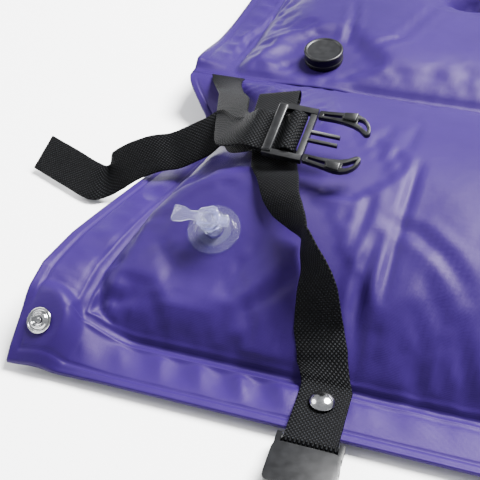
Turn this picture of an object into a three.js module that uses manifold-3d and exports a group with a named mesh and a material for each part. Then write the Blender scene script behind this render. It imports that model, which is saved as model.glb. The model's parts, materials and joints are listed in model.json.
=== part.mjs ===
// Self-inflating sleeping mat with an attached inflatable pillow, two webbing
// straps with side-release buckles, and press studs round its welded edge.
// Millimetres. X runs across the mat, Y along it (the pillow is at -Y), Z up.
// The origin is on the flat underside, at the middle of the mat.

import * as THREE from 'three';
import { mergeVertices } from 'three/addons/utils/BufferGeometryUtils.js';
import Module from 'manifold-3d';

const wasm = await Module();
wasm.setup();

// ---------------------------------------------------------------- driving sizes

const WIDTH = 600;
const LENGTH = 1850;
const PILLOW_LENGTH = 280;
const FLANGE = 30;
const MAT_HEIGHT = 42;
const PILLOW_HEIGHT = 62;
const SKIN = 1;
const GAP = 0.3;
const WEBBING_WIDTH = 25;
const WEBBING_THICKNESS = 1.4;
const FOAM_CLEARANCE = 1.5;

// ---------------------------------------------------------------- derived sizes

const HALF_WIDTH = WIDTH / 2;
const CHAMBER_HALF = HALF_WIDTH - FLANGE;
const Y_HEAD = -LENGTH / 2;
const Y_FOOT = LENGTH / 2;
const Y_FOLD = Y_HEAD + PILLOW_LENGTH;
const FOLD_LAND = 4;
const FOLD_GAP = 0.5;
const FOLD_HEIGHT = 26;
const PILLOW_NEAR = Y_HEAD + FLANGE;
const PILLOW_FAR = Y_FOLD - FOLD_LAND;
const MAT_NEAR = Y_FOLD + FOLD_LAND;
const MAT_FAR = Y_FOOT - FLANGE;
const SEAM_HALF_GAP = GAP / 2;
const HALF_WEBBING = WEBBING_WIDTH / 2;

// ---------------------------------------------------------------- colours

const VIOLET = 0x5a51a6;
const FOAM_YELLOW = 0xd8c98a;
const BLACK = 0x1c1d21;
const WEBBING_BLACK = 0x25262b;
const CLEAR = 0xc4c8f2;
const CHROME = 0xd8d8dc;
const RUBBER = 0x2a2a2c;

function material(color, roughness, metalness) {
  return new THREE.MeshStandardMaterial({ color, roughness, metalness });
}

const LOOKS = {
  fabric: material(VIOLET, 0.42, 0),
  foam: material(FOAM_YELLOW, 0.95, 0),
  plastic: material(BLACK, 0.35, 0),
  webbing: material(WEBBING_BLACK, 0.8, 0),
  vinyl: material(CLEAR, 0.15, 0),
  chrome: material(CHROME, 0.12, 1),
  rubber: material(RUBBER, 0.85, 0),
};

// ---------------------------------------------------------------- small helpers

function clamp01(value) {
  return Math.min(1, Math.max(0, value));
}

function mix(a, b, k) {
  return a + (b - a) * k;
}

function smooth(low, high, value) {
  const k = clamp01((value - low) / (high - low));
  return k * k * (3 - 2 * k);
}

// Height along a line of [place, height] knots, straight between them.
function along(knots, place) {
  let last = knots[0];
  for (const knot of knots) {
    if (place <= knot[0]) {
      const span = knot[0] - last[0];
      return span > 0 ? mix(last[1], knot[1], (place - last[0]) / span) : knot[1];
    }
    last = knot;
  }
  return last[1];
}

// Rise of an inflated chamber from its weld (0) to its crown (1).
function swell(distance, reach, fullness) {
  const rest = 1 - clamp01(distance / reach);
  return (1 - rest * rest) ** fullness;
}

function crown(a, b) {
  return Math.max(0, 1 - Math.cbrt((1 - a) ** 3 + (1 - b) ** 3));
}

// ---------------------------------------------------------------- soft shapes

// A valve needs a flat seat in the swelling skin: its place and its normal.
const PILLOW_VALVE = { x: -217, y: -840, z: 43, normal: new THREE.Vector3(-0.05, -0.44, 0.89) };
const MAT_VALVE = { x: -209, y: -615, z: 33.5, normal: new THREE.Vector3(-0.03, -0.19, 0.98) };
const SEAT_FLAT = 24;
const SEAT_BLEND = 46;

// The corner studs sit on a steep flat of the curled edge.
const CORNER_SEAT = { x: 287, y: -908, z: 20, normal: new THREE.Vector3(0.15, -0.6, 0.78) };
const CORNER_FLAT = 11.5;
const CORNER_BLEND = 22;

for (const seat of [PILLOW_VALVE, MAT_VALVE, CORNER_SEAT]) {
  seat.normal.normalize();
}

function seated(height, x, y, seat, flat = SEAT_FLAT, blended = SEAT_BLEND) {
  const dx = x - seat.x;
  const dy = y - seat.y;
  const blend = 1 - smooth(flat, blended, Math.hypot(dx, dy));
  const plane = seat.z - (seat.normal.x * dx + seat.normal.y * dy) / seat.normal.z;
  return mix(height, plane, blend);
}

// The pillow pulls in towards the fold when it is blown up, and the fold itself
// keeps the full width.
const PILLOW_TAPER = 36;
const FOLD_FLARE = 50;

function pillowHalfWidth(y) {
  const drawn = PILLOW_TAPER * clamp01((y - Y_HEAD) / PILLOW_LENGTH) ** 1.7;
  return HALF_WIDTH - drawn * (1 - smooth(Y_FOLD - FOLD_FLARE, Y_FOLD - FOLD_LAND, y));
}

// Heights of the pillow's side weld and of its free outer edge, head to fold.
const SIDE_WELD = [[-925, 4], [-896, 20], [-870, 28], [-830, 26], [-780, 20], [-700, 17], [-649, 24]];
const SIDE_EDGE = [[-925, 4], [-912, 17], [-900, 27], [-880, 33], [-850, 31], [-800, 22], [-745, 13],
  [-690, 12], [-649, 18]];
const HEAD_SEAM = 5;

function pillowSeam(x, y) {
  const half = pillowHalfWidth(y);
  const outward = clamp01((Math.abs(x) - (half - FLANGE)) / FLANGE);
  const side = mix(along(SIDE_WELD, y), along(SIDE_EDGE, y), outward);
  const end = mix(HEAD_SEAM, FOLD_HEIGHT, clamp01((y - PILLOW_NEAR) / (PILLOW_FAR - PILLOW_NEAR)));
  const atFold = smooth(PILLOW_FAR - 30, PILLOW_FAR, y);
  const reach = Math.abs(x) * HALF_WIDTH / half;
  const seam = mix(end, side, smooth(CHAMBER_HALF - 30, CHAMBER_HALF + 8, reach));
  const open = mix(seam, FOLD_HEIGHT, atFold);
  return seated(open, Math.abs(x), y, CORNER_SEAT, CORNER_FLAT, CORNER_BLEND);
}

function pillowRise(x, y) {
  const fromSide = pillowHalfWidth(y) - FLANGE - Math.abs(x);
  const fromEnd = Math.min(y - PILLOW_NEAR, PILLOW_FAR - y);
  const reach = (PILLOW_FAR - PILLOW_NEAR) / 2;
  return crown(swell(fromSide, 75, 0.65), swell(fromEnd, reach, 0.85));
}

function pillowTop(x, y) {
  const seam = pillowSeam(x, y);
  return seated(mix(seam, PILLOW_HEIGHT, pillowRise(x, y)), x, y, PILLOW_VALVE);
}

// The underside drops from the seam to the ground within this distance.
const UNDERSIDE_DROP = 35;

function pillowUnderside(x, y) {
  const fromSide = pillowHalfWidth(y) - FLANGE - Math.abs(x);
  const fromEnd = Math.min(y - PILLOW_NEAR, PILLOW_FAR - y);
  return pillowSeam(x, y) * (1 - smooth(0, UNDERSIDE_DROP, Math.min(fromSide, fromEnd)));
}

const MAT_SEAM = 20;
const CORNER_CURL = 6;

function matSeam(x, y) {
  const fromFold = y - Y_FOLD;
  const body = mix(FOLD_HEIGHT, MAT_SEAM, smooth(0, 70, fromFold));
  const curl = smooth(4, 12, fromFold) * (1 - smooth(12, 110, fromFold));
  return body + CORNER_CURL * curl * smooth(CHAMBER_HALF, HALF_WIDTH, Math.abs(x));
}

function matInset(x, y) {
  return Math.min(CHAMBER_HALF - Math.abs(x), y - MAT_NEAR, MAT_FAR - y);
}

function matTop(x, y) {
  const side = swell(CHAMBER_HALF - Math.abs(x), 55, 0.65);
  const end = swell(Math.min(y - MAT_NEAR, MAT_FAR - y), 55, 0.65);
  const height = mix(matSeam(x, y), MAT_HEIGHT, crown(side, end));
  return seated(height, x, y, MAT_VALVE);
}

function matUnderside(x, y) {
  return matSeam(x, y) * (1 - smooth(0, UNDERSIDE_DROP, matInset(x, y)));
}

// ---------------------------------------------------------------- solids

function geometryFrom(positions, indices) {
  const geometry = new THREE.BufferGeometry();
  geometry.setAttribute('position', new THREE.Float32BufferAttribute(positions, 3));
  geometry.setIndex(indices);
  return geometry;
}

// A closed slab between two height fields over a grid of columns and rows.
function slab(columns, rows, halfWidthAt, top, bottom) {
  const positions = [];
  const indices = [];
  const wide = columns.length;
  const layer = wide * rows.length;
  for (const height of [top, bottom]) {
    for (const y of rows) {
      for (const column of columns) {
        const x = column * halfWidthAt(y) / HALF_WIDTH;
        positions.push(x, y, height(x, y));
      }
    }
  }
  const quad = (a, b, c, d) => indices.push(a, b, c, a, c, d);
  for (let j = 0; j + 1 < rows.length; j += 1) {
    for (let i = 0; i + 1 < wide; i += 1) {
      const a = j * wide + i;
      quad(a, a + 1, a + 1 + wide, a + wide);
      quad(layer + a, layer + a + wide, layer + a + 1 + wide, layer + a + 1);
    }
  }
  const last = (rows.length - 1) * wide;
  for (let i = 0; i + 1 < wide; i += 1) {
    quad(i, layer + i, layer + i + 1, i + 1);
    quad(last + i + 1, layer + last + i + 1, layer + last + i, last + i);
  }
  for (let j = 0; j + 1 < rows.length; j += 1) {
    const a = j * wide;
    const b = a + wide - 1;
    quad(a + wide, layer + a + wide, layer + a, a);
    quad(b, layer + b, layer + b + wide, b + wide);
  }
  return geometryFrom(positions, indices);
}

// A closed ribbon. Each station is { at, half, lift }: a centre, the vector from
// the centre to one edge, and the unit normal of the ribbon's upper face.
function ribbon(stations, thickness) {
  const positions = [];
  const indices = [];
  for (const { at, half, lift } of stations) {
    for (const [side, face] of [[-1, 1], [1, 1], [1, -1], [-1, -1]]) {
      const corner = at.clone().addScaledVector(half, side);
      corner.addScaledVector(lift, face * thickness / 2);
      positions.push(corner.x, corner.y, corner.z);
    }
  }
  const quad = (a, b, c, d) => indices.push(a, b, c, a, c, d);
  for (let k = 0; k + 1 < stations.length; k += 1) {
    for (let c = 0; c < 4; c += 1) {
      const d = (c + 1) % 4;
      quad(4 * k + c, 4 * k + d, 4 * k + 4 + d, 4 * k + 4 + c);
    }
  }
  const end = 4 * (stations.length - 1);
  quad(3, 2, 1, 0);
  quad(end, end + 1, end + 2, end + 3);
  return geometryFrom(positions, indices);
}

function asSolid(geometry) {
  const bare = geometry.clone();
  bare.deleteAttribute('normal');
  bare.deleteAttribute('uv');
  const merged = mergeVertices(bare, 1e-4);
  return new wasm.Manifold(new wasm.Mesh({
    numProp: 3,
    vertProperties: new Float32Array(merged.attributes.position.array),
    triVerts: new Uint32Array(merged.index.array),
  }));
}

function asGeometry(solid) {
  const result = solid.getMesh();
  return geometryFrom(Array.from(result.vertProperties), Array.from(result.triVerts));
}

function cut(geometry, tools) {
  let solid = asSolid(geometry);
  for (const tool of tools) {
    solid = solid.subtract(asSolid(tool));
  }
  return asGeometry(solid);
}

function join(pieces) {
  let solid = asSolid(pieces[0]);
  for (const piece of pieces.slice(1)) {
    solid = solid.add(asSolid(piece));
  }
  return asGeometry(solid);
}

// A turned shape about Z. Points are [radius, height], going up the outside.
function turned(points, sides = 24) {
  return new THREE.LatheGeometry(points.map(([r, z]) => new THREE.Vector2(r, z)), sides)
    .rotateX(Math.PI / 2);
}

function ring(inner, outer, low, high, sides = 24) {
  return turned([[inner, low], [outer, low], [outer, high], [inner, high], [inner, low]], sides);
}

function rod(radius, low, high, sides = 12) {
  return turned([[0, low], [radius, low], [radius, high], [0, high]], sides);
}

function box(width, depth, height, x = 0, y = 0, z = 0) {
  return new THREE.BoxGeometry(width, depth, height).translate(x, y, z);
}

// The frame of a piece that stands on a soft surface: Z along the normal.
function seatFrame(at, normal, forward = new THREE.Vector3(0, 1, 0)) {
  const z = normal.clone().normalize();
  const x = new THREE.Vector3().crossVectors(forward, z).normalize();
  const y = new THREE.Vector3().crossVectors(z, x);
  return new THREE.Matrix4().makeBasis(x, y, z).setPosition(at);
}

function normalOf(height, x, y) {
  const step = 4;
  const dx = (height(x + step, y) - height(x - step, y)) / (2 * step);
  const dy = (height(x, y + step) - height(x, y - step)) / (2 * step);
  return new THREE.Vector3(-dx, -dy, 1).normalize();
}

const product = new THREE.Group();
product.name = 'sleeping_mat';

function place(name, geometry, look, frame = new THREE.Matrix4()) {
  const shaped = geometry.index ? geometry.toNonIndexed() : geometry;
  shaped.computeVertexNormals();
  const mesh = new THREE.Mesh(shaped, LOOKS[look]);
  mesh.name = name;
  mesh.applyMatrix4(frame);
  product.add(mesh);
}

// ---------------------------------------------------------------- press studs

// Every snap sits in the welded edge, with its post through both skins.
const SNAP_INSET = FLANGE / 2;
const SNAP_RADIUS = 6.9;
const POST_RADIUS = 1.5;
const POST_HOLE = 1.9;
const LONG_SIDE_SNAPS = [['mid_head', -300], ['mid_foot', 300], ['foot', Y_FOOT - SNAP_INSET]];
const RIVET = { x: 141, y: -909 };

function snapSites() {
  const sites = [];
  for (const [side, sign] of [['left', -1], ['right', 1]]) {
    sites.push({ name: `${side}_head`, x: sign * CORNER_SEAT.x, y: CORNER_SEAT.y, seam: pillowSeam });
    for (const [station, y] of LONG_SIDE_SNAPS) {
      sites.push({ name: `${side}_${station}`, x: sign * (HALF_WIDTH - SNAP_INSET), y, seam: matSeam });
    }
  }
  return sites;
}

function siteFrame({ x, y, seam }) {
  return seatFrame(new THREE.Vector3(x, y, seam(x, y)), normalOf(seam, x, y));
}

const SNAPS = snapSites();
const RIVETS = [-1, 1].map((sign) => ({ x: sign * RIVET.x, y: RIVET.y, seam: pillowSeam }));

function holesIn(sites, radius) {
  return sites.map((site) => rod(radius, -8, 8, 10).applyMatrix4(siteFrame(site)));
}

// ---------------------------------------------------------------- skins and core

// Grid lines on both sides of a valve, inside its flat seat.
const SEAT_LINE = 16.5;
const CORNER_LINE = 8;
const PILLOW_HALF = [60, 160, 200, 233, 257, CHAMBER_HALF, CORNER_SEAT.x - CORNER_LINE,
  CORNER_SEAT.x + CORNER_LINE, HALF_WIDTH];
const PILLOW_COLUMNS = [...PILLOW_HALF.map((x) => -x).reverse(), ...PILLOW_HALF];
const PILLOW_ROWS = [Y_HEAD, CORNER_SEAT.y - CORNER_LINE, CORNER_SEAT.y + CORNER_LINE, PILLOW_NEAR, -884,
  PILLOW_VALVE.y - SEAT_LINE, PILLOW_VALVE.y + SEAT_LINE, -795, -750, -715, -692, -676, -662, PILLOW_FAR,
  Y_FOLD - FOLD_GAP];

function pillowSkins() {
  const studs = SNAPS.filter((site) => site.seam === pillowSeam).concat(RIVETS);
  const holes = holesIn(studs, POST_HOLE);
  const top = slab(PILLOW_COLUMNS, PILLOW_ROWS, pillowHalfWidth,
    (x, y) => pillowTop(x, y) + SEAM_HALF_GAP + SKIN,
    (x, y) => pillowTop(x, y) + SEAM_HALF_GAP);
  const seat = rod(VINYL.skinHole, -6, 6, 24).applyMatrix4(PILLOW_VALVE.frame);
  place('pillow_top_skin', cut(top, [...holes, seat]), 'fabric');
  const floor = (x, y) => Math.max(0, pillowUnderside(x, y) - SEAM_HALF_GAP - SKIN);
  const bottom = slab(PILLOW_COLUMNS, PILLOW_ROWS, pillowHalfWidth,
    (x, y) => floor(x, y) + SKIN,
    floor);
  place('pillow_bottom_skin', cut(bottom, holes), 'fabric');
}

const MAT_COLUMNS = [-300, -270, -258, -240, MAT_VALVE.x - SEAT_LINE, MAT_VALVE.x + SEAT_LINE, -160, 160,
  218, 240, 258, 270, 300];
const MAT_ROWS = [Y_FOLD + FOLD_GAP, MAT_NEAR, MAT_VALVE.y - SEAT_LINE, MAT_VALVE.y + SEAT_LINE, -578, -535,
  840, 870, 887, MAT_FAR, Y_FOOT];

// Round welds that tie the two skins together through holes in the foam: rows
// of two and one by turns.
const DOT_PITCH = 245;
const DOT_FIRST = -485;
const DOT_SPREAD = 115;
const DOT_RADIUS = 12.5;
const DIMPLE_RADIUS = 32;
const DOT_SIDES = 8;

function dotSites() {
  const sites = [];
  for (let row = 0; row < 6; row += 1) {
    const spread = row % 2 === 0 ? [-DOT_SPREAD, DOT_SPREAD] : [0];
    for (const x of spread) {
      sites.push(new THREE.Vector3(x, DOT_FIRST + row * DOT_PITCH, 0));
    }
  }
  return sites;
}

// One skin's funnel from the outer face at `rim` to the weld at `weld`.
function dimple(rim, weld, inward) {
  const reach = DIMPLE_RADIUS + 2;
  const outer = [[0, weld], [DOT_RADIUS, weld], [reach, rim]];
  const back = outer.map(([r, z]) => [r, z - inward * SKIN]).reverse();
  const points = [...outer, ...back];
  return turned(inward > 0 ? points.reverse() : points, DOT_SIDES);
}

function dimpled(sheet, rim, weld, inward) {
  let solid = asSolid(sheet);
  const low = Math.min(rim, weld) - 3;
  const high = Math.max(rim, weld) + 3;
  for (const site of dotSites()) {
    const hole = rod(DIMPLE_RADIUS, low, high, DOT_SIDES).translate(site.x, site.y, 0);
    const funnel = dimple(rim, weld, inward).translate(site.x, site.y, 0);
    solid = solid.subtract(asSolid(hole)).add(asSolid(funnel));
  }
  return asGeometry(solid);
}

function matSkins() {
  const holes = holesIn(SNAPS.filter((site) => site.seam === matSeam), POST_HOLE);
  const across = () => HALF_WIDTH;
  const top = slab(MAT_COLUMNS, MAT_ROWS, across,
    (x, y) => matTop(x, y) + SEAM_HALF_GAP + SKIN,
    (x, y) => matTop(x, y) + SEAM_HALF_GAP);
  const seat = rod(SCREW.skinHole, -6, 6, 24).applyMatrix4(MAT_VALVE.frame);
  const rimTop = MAT_HEIGHT + SEAM_HALF_GAP + SKIN;
  const weldTop = MAT_SEAM + SEAM_HALF_GAP + SKIN;
  place('mat_top_skin', dimpled(cut(top, [...holes, seat]), rimTop, weldTop, 1), 'fabric');
  const floor = (x, y) => Math.max(0, matUnderside(x, y) - SEAM_HALF_GAP - SKIN);
  const bottom = slab(MAT_COLUMNS, MAT_ROWS, across, (x, y) => floor(x, y) + SKIN, floor);
  const weldBottom = MAT_SEAM - SEAM_HALF_GAP - SKIN;
  place('mat_bottom_skin', dimpled(cut(bottom, holes), 0, weldBottom, -1), 'fabric');
}

function foamCore() {
  const columns = MAT_COLUMNS.filter((x) => Math.abs(x) < CHAMBER_HALF);
  const rows = MAT_ROWS.filter((y) => y > MAT_NEAR && y < MAT_FAR);
  const core = slab(columns, rows, () => HALF_WIDTH,
    (x, y) => matTop(x, y) - FOAM_CLEARANCE,
    (x, y) => matUnderside(x, y) + SKIN + FOAM_CLEARANCE);
  const holes = dotSites().map((site) => rod(DIMPLE_RADIUS + 3, -5, 60, DOT_SIDES)
    .translate(site.x, site.y, 0));
  const recess = rod(SCREW.flangeRadius + 2, -60, 20, 20).applyMatrix4(MAT_VALVE.frame);
  place('mat_foam_core', cut(core, [...holes, recess]), 'foam');
}

// ---------------------------------------------------------------- mat valve

// Screw valve: turning the cap draws a sealing disc off the neck's rim.
const SCREW = { skinHole: 10, neckRadius: 9.6, bore: 6.5, flangeRadius: 16, capRadius: 14.2 };
const NECK_TOP = 4;

function matValve() {
  const frame = MAT_VALVE.frame;
  const flange = ring(SCREW.bore, SCREW.flangeRadius, -SKIN - GAP - 2, -SKIN - GAP, 20);
  const neck = ring(SCREW.bore, SCREW.neckRadius, -SKIN - GAP - 2, NECK_TOP, 20);
  const hub = ring(2.9, 4.4, -SKIN - GAP - 2, -SKIN - GAP, 10);
  const spokes = [0, 1, 2].map((k) => box(3.2, 1.4, 2, 5.2, 0, -SKIN - GAP - 1)
    .rotateZ(k * 2 * Math.PI / 3));
  place('mat_valve_base', join([flange, neck, hub, ...spokes]), 'plastic', frame);
  place('mat_valve_ring', ring(SCREW.neckRadius + GAP, 13.8, GAP, 2.2, 20), 'plastic', frame);
  const stem = turned([[0, -12], [4.2, -12], [4.2, -10], [2.4, -9.4], [2.4, 4.9], [0, 4.9]], 16);
  place('mat_valve_stem', stem, 'plastic', frame);
  place('mat_valve_gasket', ring(2.4 + GAP, 8.8, NECK_TOP + GAP, 5.7, 16), 'rubber', frame);
  const capRadius = SCREW.capRadius;
  const cap = turned([
    [0, 6], [10.2, 6], [10.2, 2.6], [capRadius, 2.6], [capRadius, 9.2], [capRadius - 0.9, 10],
    [capRadius - 2, 10], [capRadius - 2.6, 9.5], [0, 9.5],
  ], 24);
  place('mat_valve_cap', cap, 'plastic', frame);
}

// ---------------------------------------------------------------- pillow valve

// Soft vinyl valve: welded disc, thin membrane, push-in stem and tethered plug.
const VINYL = { skinHole: 9.6, discRadius: 14.2, stemRadius: 4.8, bore: 3.3, stemTop: 13 };
// The plug's tether bends on a line this far from the middle.
const TETHER_AT = 10.6;

function pillowValve() {
  const frame = PILLOW_VALVE.frame;
  const disc = turned([
    [VINYL.skinHole, GAP], [VINYL.discRadius, GAP], [VINYL.discRadius, 1.5], [VINYL.discRadius - 1.2, 1.5],
    [VINYL.discRadius - 1.6, 1.1], [VINYL.skinHole, 1.1], [VINYL.skinHole, GAP],
  ], 20);
  place('pillow_valve_disc', disc, 'vinyl', frame);
  const membrane = ring(VINYL.stemRadius + GAP, VINYL.skinHole - GAP, -0.8, 0, 20);
  place('pillow_valve_membrane', membrane, 'vinyl', frame);
  const top = VINYL.stemTop;
  const tube = turned([
    [VINYL.bore, -5], [VINYL.stemRadius, -5], [VINYL.stemRadius, 4], [VINYL.stemRadius - 0.5, 5],
    [VINYL.stemRadius, 6], [VINYL.stemRadius, top - 3.6], [6.4, top - 3.2], [6.4, top - 1.6],
    [VINYL.stemRadius, top - 1.2], [VINYL.stemRadius, top], [VINYL.bore, top], [VINYL.bore, -5],
  ], 16);
  const ear = box(4.6, 5, 1.4, TETHER_AT - 2.6, 0, top - 2.2);
  place('pillow_valve_stem', join([tube, ear]), 'vinyl', frame);
  const plug = turned([
    [0, top - 3.6], [1.6, top - 3.6], [2.9, top], [2.9, top + GAP], [6.6, top + GAP],
    [6.6, top + 2], [5.8, top + 2.8], [0, top + 2.8],
  ], 16);
  const lug = box(4.6, 5, 1.6, TETHER_AT - 2.6, 0, top + GAP + 0.8);
  const tab = new THREE.ExtrudeGeometry(pullTab(), { depth: 1.5, bevelEnabled: false, curveSegments: 6 })
    .translate(0, 0, top + GAP + 0.2);
  place('pillow_valve_plug', join([plug, lug, tab]), 'vinyl', frame);
}

// Outline of the plug's pull tab, from the plug's middle out to its round end.
function pullTab() {
  const shape = new THREE.Shape();
  shape.moveTo(-4, -3.2);
  shape.lineTo(-12, -3.6);
  shape.absarc(-15, 0, 4.7, -Math.PI * 0.28, Math.PI * 0.28, true);
  shape.lineTo(-12, 3.6);
  shape.lineTo(-4, 3.2);
  shape.closePath();
  return shape;
}

// ---------------------------------------------------------------- snaps

function snaps() {
  const top = SKIN + SEAM_HALF_GAP + GAP;
  const socket = [[POST_RADIUS + GAP, top], [SNAP_RADIUS, top], [SNAP_RADIUS, top + 0.7],
    [5.6, top + 1.9], [3.6, top + 1.9], [3, top + 1.2], [POST_RADIUS + GAP, top + 1.2],
    [POST_RADIUS + GAP, top]];
  const stud = [[POST_RADIUS + GAP, top], [SNAP_RADIUS, top], [SNAP_RADIUS, top + 0.7], [4, top + 1],
    [2.6, top + 1.4], [3, top + 3.2], [2.4, top + 3.9], [POST_RADIUS + GAP, top + 3.9],
    [POST_RADIUS + GAP, top]];
  const back = [[0, -top - 1.7], [5.8, -top - 1.7], [6.6, -top - 1], [6.6, -top], [POST_RADIUS, -top],
    [POST_RADIUS, top + 1.1], [0, top + 1.1]];
  for (const site of SNAPS) {
    const upper = site.x < 0 ? socket : stud;
    const kind = site.x < 0 ? 'socket' : 'stud';
    place(`snap_${kind}_${site.name}`, turned(upper, 12), 'chrome', siteFrame(site));
    place(`snap_back_${site.name}`, turned(back, 10), 'chrome', siteFrame(site));
  }
}

// ---------------------------------------------------------------- straps

const LAYER = WEBBING_THICKNESS + GAP;
const UP = new THREE.Vector3(0, 0, 1);
const BUCKLE_BAR = { y: -933, z: 7.4, radius: 1.7 };

// The male buckle: origin on its outer bar, X towards the prongs, Y across.
const MALE = new THREE.Matrix4();
{
  const x = new THREE.Vector3(0.996, -0.087, 0).normalize();
  const z = new THREE.Vector3(0, -0.42, 0.91).projectOnPlane(x).normalize();
  const y = new THREE.Vector3().crossVectors(z, x);
  MALE.makeBasis(x, y, z).setPosition(-200, -787, 78);
}

function station(at, half, lift) {
  return { at, half, lift: lift.clone().normalize() };
}

// Both straps share one shape, so each lies on the higher of the two sides.
function strapBed(x, y) {
  return Math.max(pillowTop(x, y), pillowTop(-x, y));
}

// Stations along a plan route laid on the pillow, `above` its surface.
function laidOn(route, above) {
  const points = route.map(([x, y]) => new THREE.Vector3(x, y, strapBed(x, y) + above));
  return points.map((at, k) => {
    const before = points[Math.max(0, k - 1)];
    const after = points[Math.min(points.length - 1, k + 1)];
    const heading = after.clone().sub(before).normalize();
    const normal = normalOf(strapBed, at.x, at.y).projectOnPlane(heading).normalize();
    const half = new THREE.Vector3().crossVectors(heading, normal).multiplyScalar(HALF_WEBBING);
    return station(at, half, normal);
  });
}

// Webbing riveted to the head edge: round the socket buckle's bar, over the
// pillow, under the plug buckle and back on itself to its anchor.
function fixedWebbing() {
  const x = -RIVET.x;
  const half = new THREE.Vector3(HALF_WEBBING, 0, 0);
  const flat = HEAD_SEAM + SEAM_HALF_GAP + SKIN + GAP + WEBBING_THICKNESS / 2;
  const turn = BUCKLE_BAR.radius + GAP + WEBBING_THICKNESS / 2;
  const stations = [
    station(new THREE.Vector3(x, -897, flat), half, UP.clone().negate()),
    station(new THREE.Vector3(x, -910, flat), half, UP.clone().negate()),
    station(new THREE.Vector3(x, -926, flat - 0.2), half, UP.clone().negate()),
  ];
  for (let k = 0; k <= 6; k += 1) {
    const angle = -Math.PI / 2 - k * Math.PI / 6;
    const out = new THREE.Vector3(0, Math.cos(angle), Math.sin(angle));
    const at = new THREE.Vector3(x, BUCKLE_BAR.y, BUCKLE_BAR.z).addScaledVector(out, turn);
    stations.push(station(at, half, out));
  }
  stations.push(station(new THREE.Vector3(x, -925, flat + LAYER + 0.4), half, UP));
  stations.push(station(new THREE.Vector3(x, -901, flat + LAYER), half, UP));
  stations.push(station(new THREE.Vector3(x - 2, -895, flat + LAYER + 3), half, new THREE.Vector3(0, -0.7, 1)));
  stations.push(...laidOn([[-146, -889], [-147, -886]], 3));
  stations.push(...twisted());
  stations.push(...laidOn([[-196, -800], [-200, -786], [-205, -770], [-208, -755]], 3));
  stations.push(...foldOver());
  return ribbon(stations, WEBBING_THICKNESS);
}

// Over the pillow's crest the webbing stands on its left edge. Each entry is a
// centre and the vector from there to the raised right edge.
function twisted() {
  const route = [
    [[-151, -878, 27], [12.1, 1.6, 2.4]],
    [[-155, -869, 42], [10.4, -2.4, 6.5]],
    [[-158, -862, 49.5], [7.9, -5.6, 7.9]],
    [[-163, -856, 56], [5.3, -6.9, 9]],
    [[-167, -850, 61], [2.4, -7.4, 9.8]],
    [[-172, -845, 63], [5.2, -5.8, 9.8]],
    [[-179, -837, 63.5], [8.2, -3.5, 8.8]],
    [[-185, -828, 65], [10.1, -2.4, 7]],
    [[-190, -815, 66], [11.6, -1.2, 4.4]],
  ];
  return facing(route, -1);
}

// Stations whose upper face follows from the run and the edge vector.
function facing(route, side) {
  const points = route.map(([at]) => new THREE.Vector3(...at));
  return route.map(([, edge], k) => {
    const before = points[Math.max(0, k - 1)];
    const after = points[Math.min(points.length - 1, k + 1)];
    const half = new THREE.Vector3(...edge);
    const lift = new THREE.Vector3().crossVectors(after.clone().sub(before), half).multiplyScalar(side);
    return station(points[k], half, lift);
  });
}

// The slack past the plug buckle: up, over and back towards it.
function foldOver() {
  const turn = 4.5;
  const centre = new THREE.Vector3(-210.5, -737, 66.5);
  const half = new THREE.Vector3(0.97, 0.16, 0.18).normalize().multiplyScalar(HALF_WEBBING);
  const stations = [];
  for (let k = 0; k <= 6; k += 1) {
    const angle = -Math.PI / 2 + k * Math.PI / 6;
    const out = new THREE.Vector3(0, Math.cos(angle), Math.sin(angle));
    stations.push(station(centre.clone().addScaledVector(out, turn), half, out.clone().negate()));
  }
  const under = UP.clone().negate();
  stations.push(station(centre.clone().add(new THREE.Vector3(1.5, -12, turn)), half, under));
  stations.push(station(centre.clone().add(new THREE.Vector3(3, -25, turn + 0.5)), half, under));
  return stations;
}

// ---------------------------------------------------------------- buckles

// Plug half: ladder frame with guide rods, and two springy prongs.
const PLUG = { width: 34, rail: 3.4, thick: 4, ladder: 22 };

function ladderFrame() {
  const half = PLUG.width / 2;
  const rails = [-1, 1].map((sign) => box(PLUG.ladder, PLUG.rail, PLUG.thick, PLUG.ladder / 2 - 1.5,
    sign * (half - PLUG.rail / 2)));
  const bars = [[0.2, 3.4], [10.5, 3], [PLUG.ladder - 3.2, 3.4]].map(([x, depth]) => box(depth,
    PLUG.width - 2, PLUG.thick - 0.6, x, 0));
  const guides = [-1, 1].map((sign) => box(17, 1.5, 2.4, PLUG.ladder + 6, sign * 2.6));
  return join([...rails, ...bars, ...guides]);
}

// One prong, seen from above, with an inward-curling tip.
function prongOutline() {
  const shape = new THREE.Shape();
  shape.moveTo(0.4, 0);
  shape.bezierCurveTo(8, 0.6, 14, 1.8, 18, 2.4);
  shape.bezierCurveTo(25, 3, 30, -2, 30.5, -7.5);
  shape.bezierCurveTo(30.4, -9.6, 28, -10.2, 26.6, -8.8);
  shape.bezierCurveTo(23, -5, 15, -3.6, 0.4, -4.4);
  shape.closePath();
  return shape;
}

// The two windows through a prong: a long slot and the eye of its tip.
function prongWindows() {
  const slot = new THREE.Shape();
  slot.moveTo(3, -1.5);
  slot.lineTo(3, -3);
  slot.lineTo(13, -2.2);
  slot.lineTo(13, -0.4);
  slot.closePath();
  const eye = new THREE.Shape();
  eye.moveTo(22, -0.6);
  eye.bezierCurveTo(26, -0.4, 28.4, -4, 28.4, -7.2);
  eye.bezierCurveTo(26, -5.6, 23.6, -4, 22, -3.4);
  eye.closePath();
  return [slot, eye];
}

function plate(shape, thickness, curveSegments = 5) {
  return new THREE.ExtrudeGeometry(shape, { depth: thickness, bevelEnabled: false, curveSegments })
    .translate(0, 0, -thickness / 2);
}

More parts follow.
